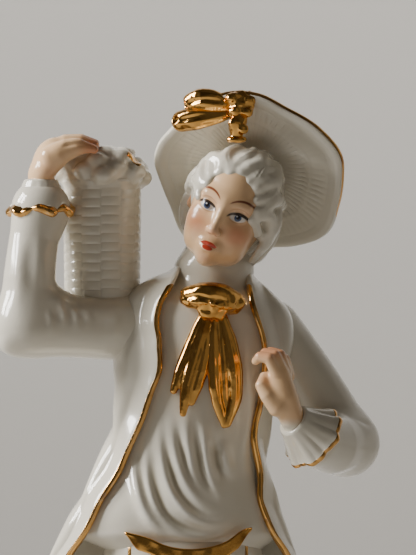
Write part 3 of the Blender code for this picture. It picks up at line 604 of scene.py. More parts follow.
def make_painted_dab():
    """A dab of china paint: an ellipse with soft edges, mirrored or not, at a place on the face."""
    board, given, out = shared_group(
        "painted dab",
        (("Across", NUMBER, 0.0), ("Up", NUMBER, 0.0), ("Middle Across", NUMBER, 0.0),
         ("Middle Up", NUMBER, 0.0), ("Half Width", NUMBER, 1.0),
         ("Half Height", NUMBER, 1.0), ("Softness", NUMBER, 0.1)),
        (("Dab", NUMBER),),
    )
    x = board.math("DIVIDE", board.math("SUBTRACT", given["Across"], given["Middle Across"]),
                   given["Half Width"])
    z = board.math("DIVIDE", board.math("SUBTRACT", given["Up"], given["Middle Up"]),
                   given["Half Height"])
    far = board.math("SQRT",
                     board.math("ADD", board.math("MULTIPLY", x, x), board.math("MULTIPLY", z, z)))
    soft = board.math("DIVIDE", board.math("SUBTRACT", 1.0, far), given["Softness"])
    board.put(out["Dab"], board.math("ADD", soft, 0.5, clamp=True))


def material(name):
    """A new material, with its board, its shader and the object's own coordinates."""
    made = bpy.data.materials.new(name)
    made.use_nodes = True
    tree = made.node_tree
    board = Board(tree)
    shader = tree.nodes["Principled BSDF"]
    shader.location = (1500, 0)
    tree.nodes["Material Output"].location = (1800, 0)
    place = board.node("ShaderNodeTexCoord").outputs["Object"]
    return made, board, shader, place


def bumped(board, shader, height, distance):
    """Raises the surface by a height pattern, distance in metres."""
    bump = board.node("ShaderNodeBump")
    bump.inputs["Strength"].default_value = 1.0
    bump.inputs["Distance"].default_value = distance
    board.put(bump.inputs["Height"], height)
    board.put(shader.inputs["Normal"], bump.outputs["Normal"])


def glazed(name, glaze, gilt_width=None):
    """White porcelain under clear glaze; with a gilt width it also has a gold line along its marked edge."""
    made, board, shader, place = material(name)
    # painted shade in hollows and painted light on ridges, over the glaze's own pooling
    pooled_and_shaded = board.placed("glaze pooling", Hollow=board.mark("hollow"), Place=place,
                          Body_Colour=(*glaze.body, 1), Pool_Colour=(*glaze.pool, 1),
                          Ridge_Colour=(*glaze.ridge, 1))
    colour = pooled_and_shaded.outputs["Colour"]
    speck = board.placed("kiln specks", Place=place).outputs["Speck"]
    colour = board.tint(speck, colour, (0.10, 0.07, 0.04))
    ripple = board.placed("glaze ripple", Place=place).outputs["Height"]
    shader.inputs["Coat Weight"].default_value = 0.6
    shader.inputs["Coat Roughness"].default_value = 0.03
    shader.inputs["Roughness"].default_value = 0.16
    shader.inputs["IOR"].default_value = 1.5
    if gilt_width is None:
        board.put(shader.inputs["Base Color"], colour)
        board.put(shader.inputs["Roughness"],
                  board.math("MULTIPLY_ADD", board.noise(place, 70.0), 0.10, 0.10))
    else:
        line = board.placed("gilt line", Distance=board.mark("edge"), Width=gilt_width,
                            Wobble=glaze.wobble, Place=place)
        tone = board.placed("gold tone", Place=place, Hollow=board.mark("hollow"),
                            Bright=(*glaze.gold, 1),
                            Thin=(*glaze.thin_gold, 1))
        worn = board.math("MULTIPLY", line.outputs["Gold"],
                          board.math("SUBTRACT", 1.0,
                                     board.math("MULTIPLY", line.outputs["Rub"], glaze.wear)))
        board.put(shader.inputs["Base Color"], board.tint(worn, colour, tone.outputs["Colour"]))
        board.put(shader.inputs["Metallic"], worn)
        smooth = board.math("MULTIPLY_ADD", board.noise(place, 70.0), 0.10, 0.10)
        mixed = board.node("ShaderNodeMix", data_type="FLOAT")
        for socket, value in zip((mixed.inputs[0], mixed.inputs[2], mixed.inputs[3]),
                                 (worn, smooth, tone.outputs["Roughness"])):
            board.put(socket, value)
        board.put(shader.inputs["Roughness"], mixed.outputs[0])
        ripple = board.math("MULTIPLY_ADD", line.outputs["Gold"], 0.8, ripple)
    bumped(board, shader, ripple, 0.00006)
    return made


def gilded(name, glaze):
    """Bright gold fired over the whole of a piece."""
    made, board, shader, place = material(name)
    tone = board.placed("gold tone", Place=place, Hollow=board.mark("hollow"), Bright=(*glaze.gold, 1),
                        Thin=(*glaze.thin_gold, 1))
    board.put(shader.inputs["Base Color"], tone.outputs["Colour"])
    board.put(shader.inputs["Roughness"], tone.outputs["Roughness"])
    shader.inputs["Metallic"].default_value = 1.0
    bumped(board, shader, tone.outputs["Height"], 0.00010)
    return made


def flesh(name, glaze):
    """Flesh tint washed over the glaze, warmer where the mark says, and fading out where it ends."""
    made, board, shader, place = material(name)
    # painted shade in hollows and painted light on ridges of the flesh wash, over its own pooling
    pooled_and_shaded = board.placed("glaze pooling", Hollow=board.mark("hollow"), Place=place,
                          Body_Colour=(*glaze.flesh, 1),
                          Pool_Colour=(*glaze.flesh_pool_and_shade, 1), Ridge_Colour=(*glaze.flesh_ridge, 1))
    wash = board.math("MULTIPLY_ADD", board.noise(place, 120.0, 3.0), 0.5, board.mark("warmth"))
    colour = board.tint(board.step(wash, 0.2, 1.3), pooled_and_shaded.outputs["Colour"], tuple(glaze.blush))
    colour = board.tint(board.mark("bare"), colour, tuple(glaze.body))
    board.put(shader.inputs["Base Color"], colour)
    board.put(shader.inputs["Roughness"],
              board.math("MULTIPLY_ADD", board.noise(place, 70.0), 0.12, 0.16))
    shader.inputs["Coat Weight"].default_value = 0.25
    shader.inputs["Coat Roughness"].default_value = 0.05
    bumped(board, shader, board.placed("glaze ripple", Place=place).outputs["Height"], 0.00004)
    return made


# ---------------------------------------------------------------- body and coat

# height, left side, right side, front and back of the coat's outside
COAT_LEVELS = np.array((
    (76.5, -49.0, 40.0, -17.5, 30.0), (90.0, -47.5, 38.0, -17.3, 28.5), (105.0, -45.0, 35.0, -17.0, 26.5),
    (120.0, -41.0, 31.0, -16.6, 24.0), (134.5, -35.7, 25.6, -16.2, 20.0),
    (141.5, -32.6, 23.0, -16.0, 17.8),
    (148.0, -29.2, 20.4, -15.5, 15.6), (155.0, -25.2, 18.8, -14.9, 13.8),
    (161.5, -22.6, 18.6, -14.6, 12.8),
    (168.0, -20.9, 19.0, -14.6, 12.6), (175.0, -20.2, 21.0, -14.6, 13.0),
    (182.0, -20.6, 23.6, -14.2, 13.4),
    (189.0, -19.8, 25.0, -13.4, 13.5), (195.0, -18.5, 23.6, -12.5, 13.3),
    (199.0, -16.5, 19.8, -11.2, 12.8),
    (202.5, -12.0, 16.2, -9.4, 12.0), (204.7, -7.4, 15.0, -8.2, 11.0), (208.5, -4.4, 14.4, -6.8, 9.5),
))

# height, then where the coat's left and right front edges stand
EDGE_LEVELS = np.array((
    (76.5, -48.0, 39.5), (92.0, -46.5, 37.6), (110.0, -42.0, 33.5), (124.0, -36.5, 29.0),
    (134.3, -31.2, 22.9),
    (138.8, -27.5, 19.4), (146.1, -23.5, 16.6), (155.5, -19.6, 15.2), (163.8, -15.7, 14.6),
    (168.0, -13.9, 15.0),
    (175.5, -11.3, 16.2), (181.8, -8.8, 16.8), (188.0, -8.1, 16.4), (191.8, -8.7, 15.3),
    (196.8, -7.9, 13.6),
    (201.3, -5.4, 13.0), (204.5, -4.0, 13.2), (208.5, -3.4, 13.3),
))

# soft folds of the shirt front, each a path of (x, z)
SHIRT_FOLDS = (
    ((-15.0, 163), (-14.6, 153), (-12.6, 146.0), (-8.6, 140.6), (-2.6, 137.6)),
    ((-12.3, 167), (-11.6, 151), (-8.5, 143.8), (-2.2, 139.3), (4.0, 138.9), (11.2, 142.5)),
    ((-9.3, 172), (-8.3, 160), (-5.2, 150), (0.4, 143.8), (6.3, 142.6), (11.0, 146.5)),
    ((-6.4, 171), (-4.9, 160.5), (-1.9, 152.8), (2.3, 147.6), (8.0, 145.3)),
    ((-2.6, 172), (-1.6, 161), (0.2, 153.5), (2.8, 149.8)),
    ((2.2, 171.5), (2.4, 161.5), (4.3, 153), (8.3, 147.5)),
    ((7.4, 164), (8.0, 157.5), (10.2, 152.5)),
    ((12.6, 193), (13.4, 180), (14.0, 170), (12.2, 160), (12.6, 149)),
)
SHIRT_CREASES = (
    ((-13.8, 166), (-13.2, 154), (-10.6, 146.4), (-6.2, 141.4), (0.0, 139.4)),
    ((-10.9, 162), (-9.6, 151), (-6.4, 144.6), (0.8, 140.9), (8.0, 140.6)),
    ((-7.8, 167), (-6.4, 157), (-3.4, 149.4), (2.2, 144.9), (8.4, 143.8)),
    ((-4.3, 168), (-3.0, 160), (-0.4, 152.2), (4.2, 147.0)),
    ((0.3, 168), (0.9, 160.4), (2.5, 153.4), (6.4, 147.0)),
    ((5.2, 165.5), (5.5, 158.5), (7.6, 151.8)),
)


COAT_INSET, SHIRT_INSET = 1.0, 2.3  # how far inside the coat's outside their middle surfaces lie


def coat_level(z, inset):
    """Middle x, middle y, half width and half depth of the coat at a height."""
    left, right, front, back = (flowing(COAT_LEVELS[:, 0], COAT_LEVELS[:, k], z) for k in range(1, 5))
    return (left + right) / 2, (front + back) / 2, (right - left) / 2 - inset, (back - front) / 2 - inset


def chest(x, z):
    """How far forward the shirt front stands."""
    middle_x, middle_y, half_x, half_y = coat_level(z, SHIRT_INSET)
    share = np.clip((x - middle_x) / half_x, -0.98, 0.98)
    return middle_y - half_y * np.sqrt(1 - share * share)


def make_coat():
    """The coat, a cast shell open down its front, with a gilt line along both edges and the hem."""
    across = spaced(0, 1, 196, 0.75)
    heights = np.concatenate([spaced(206.3, 190, 44, 0.2), np.linspace(189.6, 76.5, 192)])
    z = heights[None, :]
    middle_x, middle_y, half_x, half_y = coat_level(z, COAT_INSET)
    left, right = (flowing(EDGE_LEVELS[:, 0], EDGE_LEVELS[:, k], z) for k in (1, 2))
    left = left + 1.5 * ease(z, 146, 156) * ease(187 - z, 0, 9)
    start = np.arcsin(np.clip((left - middle_x) / half_x, -0.985, 0.985))
    end = np.arcsin(np.clip((right - middle_x) / half_x, -0.985, 0.985)) - 2 * np.pi
    angle = start + (end - start) * across[:, None]
    sine, cosine = np.sin(angle), np.cos(angle)
    low = ease(150 - z, 0, 60)
    flutes = np.sin(7 * angle + 0.9 * np.sin(2 * angle) + 0.6) + 0.35 * np.sin(13 * angle + 1.0)
    sway = low * (2.1 * flutes * ease(np.abs(angle + np.pi), 3.0, 1.2) + 0.9 * flutes)
    creases = 0.5 * ease(z, 140, 150) * ease(178 - z, 0, 12) * np.sin(0.34 * z + 5 * angle)
    creases = creases * ease(np.abs(cosine), 0.9, 0.3)
    reach = 1 + (sway + creases) / np.sqrt(half_x * half_y)
    x = middle_x + half_x * reach * sine
    y = middle_y - half_y * reach * cosine
    from_edge = np.minimum(across, 1 - across)[:, None] * np.abs(end - start) * 0.5 * (half_x + half_y)
    y = y - (0.5 * bell(from_edge - 0.6, 1.6) - 0.9 * bell(from_edge - 5.0, 2.6)
             + 0.8 * bell(from_edge - 11.0, 4.0)) * ease(z, 100, 135)
    hem_wave = 1.6 * np.sin(7 * angle + 0.6) * ease(95 - z, 0, 20)
    middle = np.stack([x, y, z + hem_wave], axis=-1)
    edge = from_edge + 2.4 * ease(z, 200.6, 203.0)
    edge = np.minimum(edge, z - 76.5 + 0.6)
    thick = 1.0 - 0.55 * ease(z, 200, 206)
    return slab("coat", "gilt edged porcelain", middle, thick, 0.9, 1.0, marks={"edge": edge})


def make_shirt():
    """Stock, shirt front and waistcoat in one: a closed body with draped folds on its front."""
    heights = np.concatenate([np.linspace(131, 196, 190), np.linspace(196.4, 213, 42)])
    angle = np.linspace(0, 2 * np.pi, 300, endpoint=False)
    z = heights[:, None] + 0 * angle
    middle_x, middle_y, half_x, half_y = coat_level(np.minimum(z, 208), SHIRT_INSET)
    neck = ease(z, 197, 205.5)
    middle_x = middle_x + neck * (4.9 - middle_x) + 0.4 * ease(z, 207, 212)
    middle_y = middle_y + neck * (1.4 - middle_y)
    half_x = half_x + neck * (10.1 - half_x) - 2.8 * ease(z, 206.0, 213)
    half_y = half_y + neck * (9.0 - half_y) - 1.8 * ease(z, 206.0, 213)
    below = ease(140 - z, 0, 7)
    half_x = half_x + below * (17.6 - half_x)
    half_y = half_y + below * (12.2 - half_y)
    middle_x = middle_x + below * (-2.6 - middle_x)
    middle_y = middle_y + below * (0.0 - middle_y)
    x = middle_x + half_x * np.sin(angle)
    y = middle_y - half_y * np.cos(angle)
    flat = np.stack([x, 0 * x, z], axis=-1)
    swell = np.zeros_like(x)
    for paths, width, height in ((SHIRT_FOLDS, 1.5, 1.05), (SHIRT_CREASES, 1.15, -0.95)):
        for path in paths:
            line = curve_through([(px, 0, pz) for px, pz in path], 22)
            swell += fold(flat, line, width, height, 0.42)
    swell += 1.0 * bell(z - 145.5, 6.0) - 0.5 * bell(z - 137.0, 2.5)
    front = ease(np.cos(angle), 0.0, 0.35)
    y = y - swell * front
    rings = np.stack([x, y, z], axis=-1)
    return tube("shirt_front", "white porcelain", rings)


# ---------------------------------------------------------------- arms

RIGHT_ARM = (vec(-13, 3, 191), vec(-24, -2.5, 190.6), vec(-34, -5.5, 191.2), vec(-41.4, -7, 191.8))
RIGHT_FOREARM = (vec(-41.4, -7, 191.8), vec(-41.1, -7.4, 203), vec(-40.1, -6.6, 213),
                 vec(-38.4, -5.8, 220.5))
LEFT_ARM = (vec(19.4, 5.4, 190.2), vec(26.4, 6.4, 180.6), vec(32.5, 6.4, 170.7), vec(38.2, 5.6, 161.4))
LEFT_FOREARM = (vec(38.2, 5.6, 161.4), vec(34, -4, 161.8), vec(29.8, -11, 163.2))
WRIST_LEFT, CUFF_AXIS_LEFT = vec(24.1, -17, 168.4), unit((0.643, 0.53, -0.555))
WRIST_RIGHT, CUFF_AXIS_RIGHT = vec(-38.4, -5.6, 228.0), unit((0.0, 0.02, -1))


def make_sleeve_right():
    """The raised arm in its sleeve: creased at the bend, with long soft folds up the forearm."""
    clay = Clay((-53, -20, 178), (-6, 16, 226), 0.40)
    p = clay.points
    clay.add(limb(p, RIGHT_ARM, (9.2, 7.9, 7.7, 7.7)))
    clay.add(limb(p, RIGHT_FOREARM, (7.7, 6.5, 6.2, 7.4)), 4.0)
    clay.add(egg(p, (-35, -5, 196.5), (4.2, 6.2, 3.6)), 3.5)
    clay.add(egg(p, (-45.6, -7.5, 188.2), (3.2, 5.0, 3.4)), 3.0)
    p = clay.near()
    wrinkles = (
        ((-33.6, -12.6, 198), (-32.2, -13.2, 194.5), (-32.4, -13.0, 190.5)),
        ((-30.6, -12.0, 197.6), (-29.2, -12.2, 193.6), (-29.6, -11.8, 189.6)),
        ((-27.4, -10.6, 196.4), (-26.2, -10.4, 192.6), (-26.6, -10.2, 189.0)),
        ((-36.6, -13.6, 196), (-35.4, -14.0, 192.5), (-36.2, -13.6, 188.5)),
    )
    for path in wrinkles:
        clay.swell(fold(p, path, 0.9, 0.45, 0.4))
    drape = (
        ((-43.0, -13.4, 216), (-43.8, -13.6, 206), (-43.6, -13.9, 197), (-41.8, -14.4, 190)),
        ((-38.2, -12.6, 217), (-38.0, -13.4, 207), (-37.2, -13.2, 200)),
        ((-20.5, -9.6, 186), (-19.6, -9.4, 191), (-20.2, -8.6, 196)),
    )
    for path in drape:
        clay.swell(fold(p, path, 1.7, 0.35, 0.4))
    clay.swell(fold(p, ((-40.4, -14.2, 215), (-40.8, -14.4, 206), (-40.2, -14.6, 198)), 1.3, -0.4, 0.4))
    clay.swell(0.22 * cloud(p, 9.0, 5))
    return fired("sleeve_right_arm", "white porcelain", clay)


def make_sleeve_left():
    """The lowered arm in its sleeve, bent at the elbow."""
    clay = Clay((8, -20, 149), (51, 18, 201), 0.40)
    p = clay.points
    clay.add(limb(p, LEFT_ARM, (7.6, 7.5, 7.9, 8.0)))
    clay.add(limb(p, LEFT_FOREARM, (8.0, 7.6, 6.9)), 3.0)
    p = clay.near()
    folds = (
        ((33, -3.0, 167), (36.5, -2.0, 168.5), (41, 1.0, 168.2)),
        ((34.5, -4.5, 164.5), (39, -2.5, 165.5), (43.5, 1.0, 164.5)),
        ((35.5, -5.5, 161.5), (40, -3.5, 161.5), (44.0, 0.0, 160.0)),
        ((29.0, -4.0, 181), (31.5, -3.6, 174), (33.6, -3.6, 169)),
        ((31.5, -10, 157.5), (36.5, -6.5, 156.4), (41.5, -1.5, 157.4)),
    )
    for path in folds:
        clay.swell(fold(p, path, 1.2, 0.5, 0.4))
    clay.swell(fold(p, ((36.5, -3.2, 167), (41, -0.8, 166.6), (45, 2.5, 166.4)), 0.8, -0.4, 0.4))
    clay.swell(0.2 * cloud(p, 9.0, 6))
    return fired("sleeve_left_arm", "white porcelain", clay)


def make_cuff(name, wrist, axis, length, narrow, wide, waves, depth, sway, gilt_share):
    """A ruffle: a flaring wall of folds from the wrist to a wavy gilt rim, thickened just inside its edge."""
    side = unit(np.cross(axis, (0.3, 1, 0.1)))
    up = np.cross(axis, side)
    angle = np.linspace(0, 2 * np.pi, 260, endpoint=False)[:, None]
    t = spaced(0, 1, 70, 0.4)[None, :]
    pleat = np.sin(waves * angle + 0.8 * np.sin(2 * angle)) + 0.4 * np.sin((waves * 2 + 1) * angle + 1.1)
    radius = narrow + (wide - narrow) * (0.75 * t + 0.25 * t * t) + depth * pleat * t**1.3
    along = length * t + sway * t**3 * np.sin(waves * angle + 0.8 * np.sin(2 * angle) + 1.2)
    middle = (wrist + axis * along[..., None] + side * (radius * np.cos(angle))[..., None]
              + up * (radius * np.sin(angle))[..., None])
    from_rim = (1 - t) * np.hypot(length, wide - narrow) + 0 * angle
    half = 0.75 + 0.3 * gilt_share * bell(from_rim - 0.7, 0.9)
    return slab(name, "gilt rimmed porcelain", middle, half, round_v=0.9, closed=True,
                marks={"edge": from_rim / gilt_share})


def make_hand_right():
    """The right hand, arched over the top of the basket with its fingers along the blossom."""
    clay = Clay((-47, -16, 222), (-20, 7, 244), 0.26)
    p = clay.points
    clay.add(limb(p, (vec(-38.4, -5.6, 223), vec(-38.3, -5.4, 228.5)), (3.0, 3.1)))
    clay.add(egg(p, (-37.9, -5.0, 230.9), (3.0, 4.6, 4.8), turned(roll=12)), 2.2)
    clay.add(egg(p, (-35.4, -5.0, 234.6), (3.6, 5.2, 4.0), turned(roll=38)), 2.5)
    for side, drop in ((-4.9, -1.7), (-1.7, -0.4), (1.5, 0.0), (4.5, -0.7)):
        y = -5.0 + side
        path = (vec(-36.2, y, 235.4 + drop), vec(-32.4, y, 237.4 + drop),
                vec(-28.6, y * 0.95, 237.8 + drop),
                vec(-25.0, y * 0.9, 237.0 + drop))
        clay.add(limb(p, path, (2.1, 1.9, 1.65, 1.1)), 0.9)
    clay.add(limb(p, (vec(-36.6, -8.6, 230.4), vec(-33.4, -9.6, 233.4), vec(-29.8, -9.6, 235.4)),
                  (2.2, 2.3, 1.6)), 2.4)
    p = clay.near(2.0)
    for side in (-3.3, -0.1, 3.1):
        y = -5.0 + side
        clay.swell(fold(p,
                        (vec(-36.4, y - 0.4, 238.2), vec(-31.6, y, 239.5), vec(-25.6, y * 0.93, 239.0)),
                        0.6, -0.45, 0.3))
    clay.swell(fold(p, (vec(-33.5, -11.8, 235.6), vec(-29.5, -11.6, 236.6), vec(-26.4, -10.8, 236.4)),
                    0.5, -0.5, 0.3))

    def warmth(points):
        knuckle = np.linalg.norm(points - vec(-36, -9, 229.5), axis=1)
        return ease(points[:, 0], -31, -25) * 0.9 + bell(knuckle, 3.0) * 0.5

    return fired("hand_right_on_basket", "flesh tint", clay,
                 {"warmth": warmth, "bare": lambda q: ease(226.6 - q[:, 2], 0, 1.6)})


def make_hand_left():
    """The left hand, with its thumb under and its fingers round the coat's edge."""
    clay = Clay((10, -27, 161), (32, -9, 190), 0.26)
    p = clay.points
    palm = (vec(26.2, -15.0, 165.6), vec(24.0, -17.2, 168.8), vec(21.9, -18.9, 174.2),
            vec(20.8, -19.0, 179.0))
    clay.add(limb(p, palm, (3.2, 3.1, 3.3, 2.9)))
    clay.add(egg(p, (20.8, -18.4, 174.5), (3.7, 2.9, 5.4), turned(roll=-18)), 1.6)
    fingers = (
        (vec(20.0, -20.8, 180.2), vec(18.2, -21.6, 183.6), vec(16.0, -20.8, 184.0),
         vec(15.0, -18.6, 182.9)),
        (vec(21.4, -19.6, 180.4), vec(19.7, -20.4, 184.4), vec(17.4, -19.4, 184.9),
         vec(16.0, -17.0, 183.6)),
        (vec(22.5, -18.0, 180.0), vec(21.0, -18.4, 184.4), vec(18.7, -17.2, 185.1),
         vec(17.2, -14.8, 183.8)),
        (vec(23.2, -16.2, 179.0), vec(22.2, -16.2, 183.2), vec(20.2, -15.0, 184.2),
         vec(18.8, -13.0, 183.0)),
    )
    for path in fingers:
        clay.add(limb(p, path, (1.55, 1.4, 1.3, 1.05)), 0.55)
    thumb = (vec(20.2, -20.2, 171.6), vec(17.8, -20.8, 174.6), vec(16.4, -20.4, 177.0),
             vec(17.0, -19.2, 179.2))
    clay.add(limb(p, thumb, (2.3, 1.9, 1.55, 1.1)), 1.2)

    def warmth(points):
        knuckle = np.linalg.norm(points - vec(17, -20, 178), axis=1)
        return ease(points[:, 2], 181.5, 186) * 0.8 + bell(knuckle, 2.5) * 0.5

    return fired("hand_left_on_coat", "flesh tint", clay,
                 {"warmth": warmth, "bare": lambda q: ease(169.5 - q[:, 2], 0, 3.5)})


# ---------------------------------------------------------------- head, hair and hat

HEAD_MIDDLE = centre_of("head") - vec(CENTRE_LINE, 0, FOOT_LEVEL) + vec(-0.2, -0.3, 0.6)
HEAD_AXES = turned(roll=23, yaw=-10, nod=4)


def head_point(*local):
    """A point given in the head's own axes."""
    return HEAD_MIDDLE + HEAD_AXES @ vec(*local)


def make_head():
    """Head and neck. Face local: x across, y back, z up, its thirds 8.3 mm each, its eyes at mid height."""
    clay = Clay(HEAD_MIDDLE + vec(-15, -18, -22), HEAD_MIDDLE + vec(17, 15, 18), 0.27)
    p = seen_from(clay.points, HEAD_MIDDLE, HEAD_AXES)
    clay.add(egg(p, (0, 1.2, 2.2), (10.3, 12.6, 12.0)))
    clay.add(egg(p, (0, -2.6, -4.6), (8.3, 9.0, 10.8)), 3.5)
    clay.add(egg(p, (0, -8.3, -12.9), (2.5, 2.4, 2.4)), 3.2)
    clay.add(limb(clay.points, (head_point(0, 3.2, -6.0), vec(5.4, 1.4, 205.5), vec(5.2, 1.4, 201)),
                  (7.2, 6.9, 6.9)), 2.0)
    p = seen_from(clay.near(4.2), HEAD_MIDDLE, HEAD_AXES)
    for side in (-1, 1):
        clay.add(egg(p, (side * 4.7, -7.4, -5.0), (3.5, 3.1, 3.4)), 2.6)
        clay.add(egg(p, (side * 4.7, -4.8, -9.2), (3.0, 4.0, 3.6)), 3.0)
    clay.add(limb(p, ((-5.2, -9.8, 2.2), (0, -11.2, 1.7), (5.2, -9.8, 2.2)), (0.9, 1.1, 0.9)), 2.6)
    for side in (-1, 1):
        clay.take(egg(p, (side * 4.1, -13.0, -0.6), (2.9, 2.9, 1.9)), 1.5)
        clay.add(egg(p, (side * 4.15, -8.5, -0.9), (2.35, 2.5, 2.1)), 0.35)
        lid = [(side * x, y, z) for x, y,
               z in ((1.9, -10.2, -1.0), (3.1, -10.95, 0.15), (4.5, -10.95, 0.35), (6.2, -9.6, -0.55))]
        clay.swell(fold(p, lid, 0.42, 0.30, 0.3))
        low_lid = [(side * x, y, z) for x, y,
                   z in ((2.2, -10.3, -1.6), (4.1, -10.7, -2.3), (6.0, -9.6, -1.4))]
        clay.swell(fold(p, low_lid, 0.40, 0.16, 0.35))
    clay.add(limb(p, ((0, -10.8, 1.4), (0, -12.1, -2.4), (0, -13.1, -5.1)), (0.8, 0.85, 1.0)), 1.4)
    clay.add(egg(p, (0, -13.2, -5.7), (1.15, 1.15, 1.0)), 0.9)
    for side in (-1, 1):
        clay.add(egg(p, (side * 1.25, -12.2, -6.1), (0.75, 1.05, 0.68)), 0.8)
        clay.take(egg(p, (side * 0.75, -12.9, -6.9), (0.3, 0.45, 0.25)), 0.25)
    clay.add(egg(p, (0, -10.4, -10.0), (2.7, 1.8, 1.9)), 1.8)
    clay.swell(fold(p,
                    ((-2.7, -11.7, -9.5), (-0.9, -12.5, -8.9), (0, -12.5, -9.15), (0.9, -12.5, -8.9),
                     (2.7, -11.7, -9.5)), 0.42, 0.34, 0.15))
    clay.swell(fold(p, ((-2.1, -11.8, -10.6), (0, -12.4, -11.0), (2.1, -11.8, -10.6)), 0.55, 0.38, 0.3))
    clay.swell(fold(p, ((-3.0, -11.5, -9.75), (0, -12.6, -9.9), (3.0, -11.5, -9.75)), 0.26, -0.34, 0.1))
    clay.swell(fold(p, ((-1.2, -11.8, -12.2), (0, -11.9, -12.3), (1.2, -11.8, -12.2)), 0.6, -0.3, 0.4))
    for side in (-1, 1):
        clay.add(egg(p, (side * 10.1, 0.8, -1.6), (1.1, 1.9, 2.9), turned(yaw=side * 18, nod=-8)), 0.6)
        clay.take(egg(p, (side * 11.2, 0.2, -1.2), (0.7, 0.9, 1.6)), 0.5)

    def local(points):
        return (points - HEAD_MIDDLE) @ HEAD_AXES

    def warmth(points):
        q = local(points)
        cheeks = sum(bell(np.linalg.norm((q - vec(side * 5.4, -9.0, -5.2)) * vec(1, 0.6, 1.1), axis=1),
                          3.6) for side in (-1, 1))
        ears = bell(np.abs(q[:, 0]) - 10.8, 1.2) * bell(q[:, 2] + 1.6, 3.5) * 0.6
        chin = bell(np.linalg.norm(q - vec(0, -11, -13.6), axis=1), 3.0) * 0.35
        nose = bell(np.linalg.norm(q - vec(0, -14.4, -6.4), axis=1), 1.6) * 0.5
        return 0.95 * cheeks + ears + chin + nose

    def bare(points):
        below = ease(208.2 - points[:, 2], 0, 4.0)
        beside = ease(np.abs(points[:, 0] - 6.5), 5.0, 8.0) * ease(211.5 - points[:, 2], 0, 4.0)
        return np.maximum(below, beside)

    return fired("head_and_neck", "painted face", clay, {"warmth": warmth, "bare": bare})


